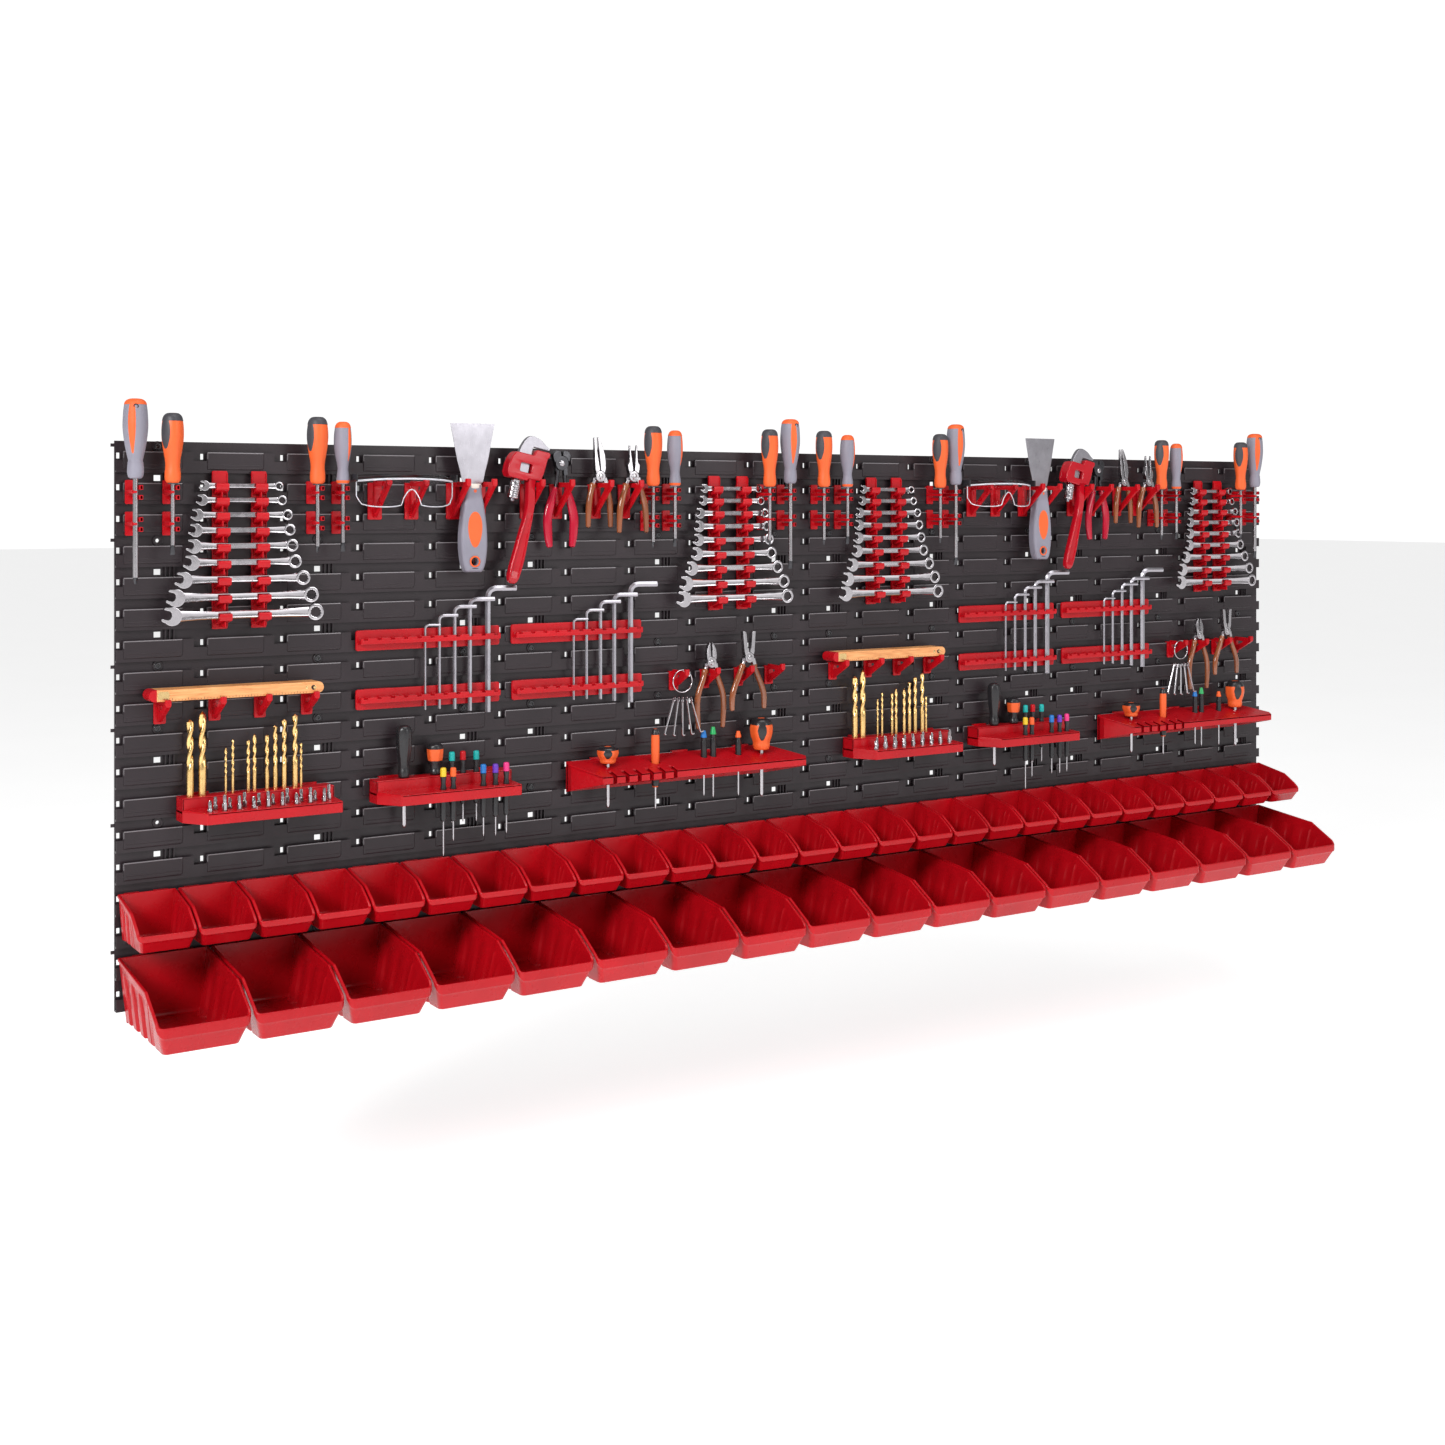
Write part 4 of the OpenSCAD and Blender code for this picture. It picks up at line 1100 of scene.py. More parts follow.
HEX_RAILS, HEX_RAIL_W, HEX_D = [(458, 6), (710, 6), (458, 8), (711, 8)], 232.0, 21.0
HEX_GROUPS, HEX_STEPS = (449, 700), (0, 23, 48, 73, 103)
HEX_SIZES = (3, 4, 5, 6, 8)
HEX_TOPS, HEX_FEET = (514, 528, 541, 552, 569), (386, 386, 384, 380, 376)
HEX_ARMS, HEX_TURN = (23, 28, 33, 38, 44), 20


def comb_rail(x, key_places):
    w = HEX_RAIL_W / 2
    s = prism(rounded(rect(-w, w, -28, 2.2), 4.0), FRONT, FRONT + 4, FACING, 1.1)
    for side in (-80, 80):
        s.put(rail_hook(40), move(side, 0, 0))
    holes = [circle(size / 2 * 1.16 + 0.5, 14, key - x, HEX_D) for key, size in key_places
             if abs(key - x) < w - 6]
    bar = rounded(rect(-w + 3, w - 3, FRONT + 3.6, 28), [0, 0, 3, 3])
    s.put(prism(bar, -18, -12, PLAN, 0.8, holes=holes))
    teeth = [(i - 5) * 21 for i in range(11)]
    for a, b in zip([-w + 3.4] + [t + 3 for t in teeth], [t - 3 for t in teeth] + [w - 3.4]):
        s.put(block(a, b, 24.6, 27.9, -17, -9, 0.9))
        s.put(block(a, b, FRONT + 3.6, 17.0, -14, -9, 0.6))
    return s


def hex_key_shape(i):
    size, top, foot = HEX_SIZES[i], HEX_TOPS[i], HEX_FEET[i]
    r = size / 2 / math.cos(math.pi / 6)
    a = math.radians(HEX_TURN)
    end = Vector((HEX_ARMS[i] * math.cos(a), -HEX_ARMS[i] * math.sin(a), 0))
    z = top - size / 2
    line = [Vector((0, 0, foot)), Vector((0, 0, foot + 0.5))]
    line += bent([(0, 0, foot + 1), (0, 0, z), tuple(end * 0.97 + Vector((0, 0, z)))],
                 1.6 * size + 2, 7)
    line.append(end + Vector((0, 0, z)))
    return tube(line, [r * 0.8] + [r] * (len(line) - 2) + [r * 0.8], 6)


places = [(g + step, i) for g in HEX_GROUPS for i, step in enumerate(HEX_STEPS)]
units = [hex_key_shape(i) for i in range(5)]
rails = [(comb_rail(x, [(key, HEX_SIZES[i]) for key, i in places]), x, rail_top(n), 0)
         for x, n in HEX_RAILS]
piece("hex_key_rails_shown", in_halves(*rails), ["red"], ["hex_key_rails"])
keys = in_halves(*[(units[i], x, 0, HEX_D) for x, i in places])
piece("hex_keys_shown", keys, ["blade"], ["hex_keys"])

# ---- stepped shelves ----

SHELF_RAIL, SHELF_D, TIER_D = 11, 78.0, 42.0
SHELF_Z = rail_top(SHELF_RAIL)


def stepped_shelf(w, rear, front):
    """Two tiers with the left front corner cut off. The holes of each tier, rear and front,
    are x, depth and radius."""
    half, cut = w / 2, 24
    s = prism(rounded(rect(-half, half, FRONT, TIER_D), [0, 0, 1.5, 1.5]), -3, 0, PLAN, 1.1,
              holes=[circle(r, 16, x, d) for x, d, r in rear])
    s.put(block(-half, half, TIER_D - 3, TIER_D, -20, -0.6, 0.8))
    deck = rounded([(-half, TIER_D - 2), (-half + cut, SHELF_D), (half, SHELF_D),
                    (half, TIER_D - 2)], [0, 2.5, 2.5, 0])
    lip = prism(deck, -19.4, -16, PLAN, 1.1, holes=[circle(r, 16, x, d) for x, d, r in front])
    s.put(lip.warp(lambda x, y, z: (x, y, z - 2 * max(0.0, -y - TIER_D) / (SHELF_D - TIER_D))))
    outer = rounded([(-half, FRONT), (-half, TIER_D), (-half + cut, SHELF_D), (half, SHELF_D),
                     (half, FRONT)], [0, 2, 2.5, 2.5, 0])
    inner = [(-half + 2.6, FRONT + 3), (-half + 2.6, TIER_D - 1),
             (-half + cut + 1.4, SHELF_D - 2.6), (half - 2.6, SHELF_D - 2.6),
             (half - 2.6, FRONT + 3)]
    s.put(prism(outer, -34, -18.2, PLAN, 0.8, holes=[inner]))
    for a in (-half, half - 2.6):
        s.put(block(a, a + 2.6, FRONT, TIER_D, -22, -0.6, 0.7))
    s.put(block(-half, half, FRONT, FRONT + PLATE_T, -34, -0.5, 0.8))
    n = int(w // 36)
    for k in range(1, n):
        x = -half + w * k / n
        s.put(block(x - 0.8, x + 0.8, FRONT + 2, TIER_D - 2, -16, -2.4, 0.3))
    for a in (-0.36, 0.36):
        s.put(rail_hook(30), move(a * w, 0, 0))
    return s


def wave(a):
    """From 0 to 1 and back once round the angle a."""
    return 0.5 + 0.5 * math.cos(a)


DRILLS = [(96, 106, 10), (113, 116, 11), (146, 64, 3.5), (156, 74, 4), (178, 72, 5),
          (187, 80, 5.5), (205, 78, 6), (217, 90, 6.5), (230, 98, 7), (246, 104, 8), (255, 62, 4)]
DRILL_X, DRILL_W, DRILL_D, BIT_D = 190.0, 218.0, 27.0, 61.0
BITS = [(112 + 10.2 * i, BIT_D + (5 if i % 2 == 0 else -5), 26 + (i % 3) * 3) for i in range(18)]


def drill_shape(height, d):
    """A twist drill standing on its shank, z from the shelf's top."""
    r = d / 2
    flutes, tip = 0.34 * height, height - 0.32 * d

    def ring(z, depth, k=1.0):
        spin = (z - flutes) / (5.2 * d) * TAU
        return level_ring(z, lambda a: r * k * (1 - 0.52 * depth * wave(2 * (a - spin)) ** 1.6), 20)

    rings = [ring(-29.5, 0, 0.9), ring(-29, 0), ring(flutes - 0.6 * d, 0)]
    z, step = flutes, 0.3 * d
    while z < tip:
        rings.append(ring(z, min(1, (z - flutes) / d + 0.15)))
        z += step
    rings += [ring(tip, 1), ring(height - 0.02, 1, 0.12)]
    return loft(rings)


def bit_shape(top, kind):
    """A screwdriver bit standing on its hexagon."""
    rings = [hexed(3.2, 0.4), hexed(3.5, 1), hexed(3.5, top - 12.5),
             hexed(3.1, top - 11.6), round_ring(2.5, top - 10.4), round_ring(2.4, top - 7.5)]

    def tip(z, r, depth):
        lobes = (2, 3, 3)[kind]
        return level_ring(z, lambda a: r * (1 - depth * abs(math.sin(lobes * a)) ** 1.4))

    rings += [tip(top - 6.6, 2.7, 0.15), tip(top - 5, 2.6, 0.45 if kind == 0 else 0.25),
              tip(top - 1.2, 1.8 if kind == 0 else 2.3, 0.5 if kind == 0 else 0.25),
              tip(top, 0.7 if kind == 0 else 2.0, 0.3)]
    return loft(rings)


unit = stepped_shelf(DRILL_W, [(x - DRILL_X, DRILL_D, d / 2 + 0.5) for x, _, d in DRILLS],
                     [(x - DRILL_X, d, 3.9) for x, d, _ in BITS])
drills = [(drill_shape(h, d), x, SHELF_Z, DRILL_D, 47 * i) for i, (x, h, d) in enumerate(DRILLS)]
bits = [(bit_shape(h, i % 3), x, SHELF_Z - 28, d, 29 * i) for i, (x, d, h) in enumerate(BITS)]
piece("drill_shelves_shown", in_halves((unit, DRILL_X, SHELF_Z, 0)), ["red"], ["drill_shelves"])
piece("drill_bits_shown", in_halves(*drills), ["gold"], ["drill_bits"])
piece("screw_bits_shown", in_halves(*bits), ["steel"], ["screw_bits"])

PRECISION = [(460, 62, 304, 51), (476, 62, 303, 29), (525, 62, 304, 28), (545, 62, 303, 28),
             (563, 62, 304, 27), (487, 33, 322, 27), (505, 33, 322, 27), (527, 33, 321, 27)]
CAPS = ["yellow", "orange", "blue", "violet", "pink", "teal", "red", "teal"]
PRECISION_R, PRECISION_H = 4.6, 80.0
SHELF_DRIVERS = [(410, 33, 289.3, 367, 12, 216, 3.5), (462, 28, 289.3, 336, 12, 252, 3),
                 (748, 45, 285.5, 312, 17, 216, 3), (835, 45, 241, 334, 7, 206, 1.6),
                 (930, 40, 262, 324, 5, 218, 1.6), (948, 40, 262, 329, 5, 214, 1.6),
                 (996, 42, 262, 319, 5, 213, 1.6), (1040, 45, 285.5, 338, 19, 208, 3.5)]
DRIVER_X, DRIVER_W = 473.0, 218.0

precise, cap_looks = Shape(), ["black"] + sorted(set(CAPS))
unit = turned([(2.4, 0.2), (3.4, 0.6), (4.2, 2.4), (4.6, 5), (4.6, 49), (4.3, 52), (3.7, 54),
               (3.7, 60), (4.3, 62), (4.5, 64), (4.5, 66)], 36,
              lambda a, z: 1 - 0.09 * wave(6 * a) if 4 < z < 50 else 1)
cap = turned([(3.6, 66.2), (4.55, 66.8), (4.6, 68), (4.6, 76), (4.2, 78.4), (3.4, 79.6), (2.0, 80)],
             36, lambda a, z: 1 - 0.05 * wave(12 * a) if 67 < z < 77 else 1)
needles = Shape()
for h in HALVES:
    for (x, d, top, shaft), look in zip(PRECISION, CAPS):
        place = at(x + h, top - PRECISION_H, d)
        precise.put(unit, place)
        precise.put(cap, place, cap_looks.index(look))
        needles.put(turned([(0.35, -shaft + 0.1), (0.9, -shaft + 2), (1.2, -shaft + 5), (1.2, 0),
                            (1.0, 3)], 12), place)
piece("precision_handles_shown", precise, cap_looks, ["precision_driver_handles"])
piece("precision_shafts_shown", needles, ["steel"], ["precision_driver_shafts"])


def shelf_handle(i):
    _, _, foot, top, r, _, _ = SHELF_DRIVERS[i]
    h = top - foot
    if i in (2, 7):
        # Short thick handles: orange body, dark cap and dark panels
        g = Grip([(0, 0.5), (0.03, 0.66), (0.14, 0.74), (0.26, 0.76), (0.42, 0.92), (0.6, 1.0),
                  (0.78, 0.97), (0.92, 0.8), (0.98, 0.55), (1, 0.3)], h, r, 6, 0.09, FACE)
        s = g.body(1)
        s.put(g.body(0, 0.8, 0.999, lift=0.35))
        for k in range(3):
            s.put(g.inlay(FACE + TAU * k / 3 - 0.5, leaf(0.42, 0.06, 1.2, 0.7), 0.3, 0.86, 0))
        return s
    if i in (0, 1):
        g = Grip([(0, 0.55), (0.03, 0.7), (0.1, 0.74), (0.2, 0.66), (0.3, 0.7), (0.5, 0.9),
                  (0.75, 1.0), (0.9, 0.96), (0.97, 0.75), (1, 0.4)], h, r, 6, 0.12, FACE)
        s = g.body(0)
        if i == 1:
            s.put(g.body(1, 0.45, 0.82, lift=0.3))
        return s
    if i == 3:
        g = Grip([(0, 0.6), (0.03, 0.8), (0.1, 0.86), (0.2, 0.8), (0.35, 0.86), (0.6, 1.0),
                  (0.86, 0.96), (0.97, 0.7), (1, 0.4)], h, r, 4, 0.08, FACE)
        s = g.body(1)
        s.put(g.body(0, 0.9, 0.999, lift=0.3))
        s.put(g.body(0, 0.02, 0.12, lift=0.3))
        return s
    g = Grip([(0, 0.6), (0.04, 0.9), (0.1, 1.0), (0.68, 1.0), (0.72, 0.82), (0.8, 0.82),
              (0.84, 0.95), (1, 0.5)], h, r, 6, 0.1, FACE)
    s = g.body(0, 0, 0.83)
    s.put(g.body({4: 3, 5: 2, 6: 1}[i], 0.82, 0.999, lift=0.2))
    return s


others, shanks = Shape(), Shape()
for i, (x, d, foot, _, _, tip, sr) in enumerate(SHELF_DRIVERS):
    unit = shelf_handle(i)
    rod = turned([(0.4 * sr, tip + 0.1), (0.75 * sr, tip + 1.5), (sr, tip + 5), (sr, foot + 1)], 16)
    for h in HALVES:
        others.put(unit, at(x + h, foot, d))
        shanks.put(rod, at(x + h, 0, d))
piece("shelf_handles_shown", others, ["black", "orange", "green", "blue"],
      ["shelf_driver_handles"])
piece("shelf_shafts_shown", shanks, ["steel"], ["shelf_driver_shafts"])

unit = stepped_shelf(
    DRIVER_W,
    [(x - DRIVER_X, d, PRECISION_R + 0.5) for x, d, _, _ in PRECISION if d < TIER_D]
    + [(x - DRIVER_X, d, sr + 0.6) for x, d, _, _, _, _, sr in SHELF_DRIVERS[:2]],
    [(x - DRIVER_X, d, PRECISION_R + 0.5) for x, d, _, _ in PRECISION if d > TIER_D])
piece("driver_shelves_shown", in_halves((unit, DRIVER_X, SHELF_Z, 0)), ["red"], ["driver_shelves"])

TOOL_X, TOOL_W, TOOL_D = 901.0, 420.0, 82.0


def tool_shelf():
    """The long shelf: it slopes down to the front, with a comb of slots in its edge."""
    half, cut = TOOL_W / 2, 28
    slots = [(737 + i * 22 - TOOL_X, 737 + i * 22 + 7 - TOOL_X) for i in range(6)]
    edge = [(-half, FRONT), (-half, 30), (-half + cut, TOOL_D)]
    for a, b in slots:
        edge += [(a, TOOL_D), (a, 63.5), ((a + b) / 2, 62), (b, 63.5), (b, TOOL_D)]
    edge += [(half - 6, TOOL_D), (half, TOOL_D - 10), (half - 41.5, FRONT)]

    def fall(d):
        return min(max((d - FRONT) / (TOOL_D - FRONT), 0), 1)

    def sloped(x, y, z):
        """z from 0 at the shelf's lower edge to 1 at its top."""
        f = fall(-y)
        top, low = -18 * f, -48 + 18 * f
        return (x, y, low + (top - low) * z)

    holes = [circle((r if foot < SHELF_Z - 20 else sr) + 0.6, 16, x - TOOL_X, d)
             for x, d, foot, _, r, _, sr in SHELF_DRIVERS[2:]]
    deck = prism(edge, -3.5, 0, PLAN, 0.9, holes=holes)
    s = deck.warp(lambda x, y, z: (x, y, z - 18 * fall(-y)))
    line = [(-half, FRONT), (-half, 30), (-half + cut, TOOL_D), (slots[0][0], TOOL_D)]
    walls = list(zip(line, line[1:]))
    for (_, a), (b, _) in zip(slots, slots[1:]):
        walls.append(((a, TOOL_D), (b, TOOL_D)))
    line = [(slots[-1][1], TOOL_D), (half - 6, TOOL_D), (half, TOOL_D - 10), (half - 41.5, FRONT)]
    walls += list(zip(line, line[1:])) + [((half - 41.5, FRONT + 2.8), (-half, FRONT + 2.8))]
    for a, b in walls:
        along = (Vector(b) - Vector(a)).normalized()
        inner = Vector((along.y, -along.x)) * 2.8
        outline = [a, b, tuple(Vector(b) + inner), tuple(Vector(a) + inner)]
        s.put(prism(outline, 0.0, 0.97, PLAN, 0.03).warp(sloped))
    for a, b in slots:
        for x in (a - 2.4, b):
            s.put(prism(rect(x, x + 2.4, 62, TOOL_D - 1), 0.0, 0.96, PLAN).warp(sloped))
    for k in range(1, 12):
        x = -half + 35 * k
        s.put(prism(rect(x - 0.9, x + 0.9, FRONT + 2, 60), 0.25, 0.92, PLAN).warp(sloped))
    for x in (-150, 0, 120):
        s.put(rail_hook(30), move(x, 0, 0))
    return s


piece("tool_shelves_shown", in_halves((tool_shelf(), TOOL_X, SHELF_Z, 0)), ["red"],
      ["tool_shelves"])

# ---- folding rule, scraper, safety glasses, key ring ----

RULE_X, RULE_Z = 157.5, rail_top(8) + 5.2
LATHS, LATH_D, LATH_STEP, LATH_T = 10, 17.5, 3.2, 3
SCRAPER_X, SCRAPER_D = 518.5, 38


def rule_shape():
    s = Shape()
    for i in range(LATHS):
        d = LATH_D + LATH_STEP * i
        right = [(115.5 + 8 * math.sin(a), 8 - 8 * math.cos(a))
                 for a in (math.pi * k / 10 for k in range(11))]
        left = [(-x, 16 - z) for x, z in right]
        s.put(prism(right + left, d, d + LATH_T, FACING, 0.5, holes=[circle(2, 14, 108, 8)]))
        # Hinge plates and rivets between the laths, at alternate ends
        x = 104 if i % 2 else -104
        for dx in (-6, 6):
            s.put(turned([(2.2, -0.3), (2.4, 0.0), (2.2, 0.35), (1.0, 0.5)], 16, mat=1),
                  move(x + dx, -d - LATH_T, 8) @ turn(90, "X"))
    front = LATH_D + LATH_STEP * (LATHS - 1) + LATH_T
    s.put(prism(rounded(rect(-112, -96, 2.2, 13.8), 4), front - 0.1, front + 0.35, FACING, 0.2,
                mat=1))
    end = [(-115.5 - 8.25 * math.sin(a), 8 + 8.25 * math.cos(a))
           for a in (math.pi * k / 10 for k in range(11))]
    s.put(prism([(-113, 16.25)] + end + [(-113, -0.25)], LATH_D - 0.1, front + 0.15, FACING, 0.3,
                mat=2))
    s.put(turned([(2.1, -32.0), (3.4, -32.0), (3.4, 0.25), (2.9, 0.45), (2.1, 0.3)], 20,
                 closed=True, mat=3), move(108, -front, 8) @ turn(90, "X"))
    # Inch marks along the front lath
    for k in range(44):
        x = -92 + 4.4 * k
        s.put(block(x - 0.25, x + 0.25, front - 0.1, front + 0.04, 0.6,
                    4.2 if k % 5 == 0 else 2.6, 0.02, 3))
    return s


def section(w, t, z, power, n):
    """A level ring of a rounded oblong, w wide and t thick."""
    out = []
    for a in angles(n):
        c, s = math.cos(a), math.sin(a)
        q = (abs(c) ** power + abs(s) ** power) ** (-1 / power)
        out.append((w / 2 * q * c, t / 2 * q * s, z))
    return out


def scraper_shapes():
    widths = spline([(716, 14), (722, 24), (728, 34.5), (744, 42), (762, 52), (790, 63), (812, 72),
                     (815, 72)], 3)
    blade = loft([section(w, 1.2 if z < 800 else 1.2 - 0.05 * (z - 800), z, 9, 20)
                  for z, w in widths])
    line = spline([(591, 24), (595, 31), (605, 37.6), (622, 42.5), (640, 43.6), (662, 41),
                   (690, 33), (708, 26), (718, 24.6), (724, 23)], 3)
    outline = [(-w / 2, z) for z, w in line] + [(w / 2, z) for z, w in reversed(line)]
    grip = prism(outline, -9.6, 9.6, FACING, 5.2, 5, holes=[circle(6.2, 24, 0, 607)])
    for side in (-1, 1):
        oval = [(11.5 * math.cos(a) * (1 + 0.14 * math.sin(a)), 655 + 27 * math.sin(a))
                for a in (TAU * k / 40 for k in range(40))]
        grip.put(prism(oval, 9.0 if side > 0 else -10.0, 10.0 if side > 0 else -9.0, FACING,
                       0.45, mat=1))
        for r, z in ((8.6, 607), (2.6, 713)):
            dot = turned([(6.3 if r > 5 else 0.4, -0.7), (r, -0.7), (r - 0.2, 0.1),
                          (r - 0.9, 0.45), (6.5 if r > 5 else 0.4, 0.4)], 28, closed=True, mat=1)
            grip.put(dot, move(0, -9.5 * side, z) @ turn(90 * side, "X"))
    collar = loft([section(w, t, z, 3.2, 28) for z, w, t in
                   ((716, 25.5, 18.6), (718, 27, 20), (722, 26.6, 19.6), (724, 24, 16))], mat=2)
    grip.put(collar)
    return blade, grip


GLASSES_X, GLASSES_Z, TEMPLE_X = 402.0, 710.0, 78
RING_X, RING_Z = 888.0, rail_top(8) - 12


def lens_shape():
    """Lens and brow bar, with y = 0 at the hooks' knobs."""
    R, s, rings, brow, under = 124.0, Shape(), [], [], []
    for k in range(49):
        u = -75.5 + 151 * k / 48
        a = math.asin(u / R)
        top = 21.5 - 3.5 * (abs(u) / 76) ** 2.4
        low = -21.5 + 9.5 * (abs(abs(u) - 40) / 40) ** 2.6
        if abs(u) < 14:
            low = max(low, -12 + 16 * math.cos(u / 14 * math.pi / 2))
        if abs(u) > 70:
            low += (abs(u) - 70) * 1.6
        ring = []
        for q, z in ((0.8, top - 0.6), (0.3, top), (-0.3, top), (-0.8, top - 0.6),
                     (-0.8, (top + low) / 2), (-0.8, low + 0.6), (-0.3, low), (0.3, low),
                     (0.8, low + 0.6), (0.8, (top + low) / 2)):
            ring.append(((R + q) * math.sin(a), 118 - (R + q) * math.cos(a), z))
        rings.append(ring)
        mid = ((R - 1.2) * math.sin(a), 118 - (R - 1.2) * math.cos(a))
        brow.append((mid[0], mid[1], top - 1.4))
        under.append((mid[0], mid[1], low + 0.9))
    s.put(loft(rings))
    # The brow, lower and side rim tubes take material 1, the light rim grey: a painted highlight
    # along the clear frame's edges
    s.put(tube(brow, 1.5, 8, mat=1))
    s.put(tube(under, 0.8, 8, mat=1))
    for k in (0, -1):
        s.put(tube([under[k], brow[k]], 0.9, 8, mat=1))
    for side in (-1, 1):
        pad = tube([(side * 7, -4.5, 1), (side * 8.5, -1, -3), (side * 11, 1, -10),
                    (side * 12, 1.5, -14)], [0.8, 1.6, 1.8, 0.9], 8)
        s.put(pad)
    return s


def temple_shapes():
    s = Shape()
    for side in (-1, 1):
        hinge = side * TEMPLE_X
        s.put(block(hinge - 1.5, hinge + 1.5, -1, 21, -9, 2, 1.0), move(0, -46, 0))
        y = -HOOK_REACH + 30.5 + side * 2.2
        line = spline([(hinge, -60, -4), (hinge, -52, -3.5), (side * 75, y - 3, -2.5),
                       (side * 66, y, -2.0), (side * 20, y, 0.3), (-side * 30, y, 1.5),
                       (-side * 62, y, 0.5), (-side * 72, y, -2.6)], 5)
        s.put(tube(line, 2.0, 10, 0.5))
    return s


def key_ring_shape():
    line = [(18 * math.cos(TAU * k / 40), 0, 18 * math.sin(TAU * k / 40)) for k in range(40)]
    s = tube(line, 1.0, 10, loop=True)
    for i in range(-2, 3):
        place = move(i * 5, 0, -20) @ turn(i * -9, "Y") @ move(0, -2.6 * i, -38)
        key = tube(bent([(0, 0, 29), (0, 0, -29.5), (4.2 + 0.8 * i, 0, -29.5)], 3.5, 5), 1.5, 6)
        s.put(key, place, 1)
        eye = [(0.3 * math.sin(a), 3.0 * math.cos(a), 28 + 4.2 * math.sin(a))
               for a in (TAU * k / 18 for k in range(18))]
        s.put(tube(eye, 0.9, 8, loop=True), place, 1)
    return s


blade, grip = scraper_shapes()
lens, temples, ring = lens_shape(), temple_shapes(), key_ring_shape()
rule = rule_shape()
sets = [("folding_rules_shown", rule, (RULE_X, RULE_Z, 0), ["wood", "brass", "red", "black"],
         "folding_rules"),
        ("scraper_blades_shown", blade, (SCRAPER_X, 0, SCRAPER_D), ["blade"], "scraper_blades"),
        ("scraper_handles_shown", grip, (SCRAPER_X, 0, SCRAPER_D), ["grey", "orange", "cream"],
         "scraper_handles"),
        ("glasses_lenses_shown", lens, (GLASSES_X, GLASSES_Z, HOOK_REACH + 4),
         ["clear", "rim"], "glasses_lenses"),
        ("glasses_temples_shown", temples, (GLASSES_X, rail_top(1) + 12.2, 0), ["black"],
         "glasses_temples"),
        ("key_rings_shown", ring, (RING_X, RING_Z, 42), ["chrome", "steel"], "key_rings")]
for name, unit, (x, z, d), looks, node in sets:
    piece(name, in_halves((unit, x, z, d)), looks, [node])

# ---- pliers ----

PLIER_T, RIVET_R, JAW_CURVE = 10.0, 3.0, 0.0037
PLIERS = {
    "red_pliers": (672, 757, 11, 6,
                   [(0.3, 8), (0.3, 17), (1.2, 19), (2.5, 20), (5.5, 20.4), (9, 19.5), (12, 17.4),
                    (14, 14), (13.6, 8), (12, 3)],
                   [(5, -4), (4.6, -34), (9.5, -56), (14, -85), (10.5, -112), (6, -131)],
                   [9, 8, 13, 15, 14, 10], 31),
    "curved_pliers": (740, 737, 8.5, 2,
                      [(0.3, 6), (0.3, 30), (0.3, 46), (0.3, 61.6), (2.4, 61), (4.2, 54), (6, 46),
                       (8, 34), (9, 22), (9, 12), (7, 4)],
                      [(7, -3), (12.5, -18), (17.3, -45), (17.2, -80)], [8, 9, 10, 8], 32),
    "needle_pliers": (794, 737, 8.5, 6,
                      [(0.3, 6), (0.3, 50), (1.9, 50), (2.8, 44), (4, 32), (5.2, 24), (9, 19),
                       (9, 12), (7, 4)],
                      [(7, -3), (11.5, -20), (17.5, -50), (15.5, -90)], [8, 9, 10, 8], 44),
    "cutter": (947.5, 434, 8.5, 3,
               [(0.3, 6), (0.3, 32), (1.6, 32), (4.6, 28), (7.6, 22), (9, 15), (9, 8), (7, 2)],
               [(7, -3), (12, -24), (22, -60), (18, -108)], [8, 9, 10, 8], 33),
    "stripper": (1014, 440, 8.5, 5,
                 [(0.3, 6), (0.3, 14), (2, 16), (2, 39), (3, 43), (5, 44), (9, 44), (9, 10),
                  (7, 2)],
                 [(7, -3), (13, -24), (25, -60), (24, -88)], [8, 9, 10, 8], 44.5),
}


def outside(poly, r):
    """The part of an outline outside a circle round the origin, closed by an arc."""
    fine = []
    for i, p in enumerate(poly):
        q = poly[(i + 1) % len(poly)]
        n = max(2, int(math.dist(p, q) / 0.7))
        fine += [(p[0] + (q[0] - p[0]) * k / n, p[1] + (q[1] - p[1]) * k / n) for k in range(n)]
    keep = [math.hypot(*p) > r for p in fine]
    start = next(i for i in range(len(fine)) if keep[i] and not keep[i - 1])
    run = []
    for k in range(len(fine)):
        i = (start + k) % len(fine)
        if not keep[i]:
            break
        run.append(fine[i])
    corners = [run[0]] + [p for i, p in enumerate(run[1:-1], 1)
                          if abs((p[0] - run[i - 1][0]) * (run[i + 1][1] - p[1])
                                 - (p[1] - run[i - 1][1]) * (run[i + 1][0] - p[0])) > 1e-3]
    corners.append(run[-1])
    a0, a1 = (math.atan2(p[1], p[0]) for p in (run[-1], run[0]))
    return corners + [(r * math.cos(a0 + (a1 - a0) * k / 6), r * math.sin(a0 + (a1 - a0) * k / 6))
                      for k in range(1, 6)]


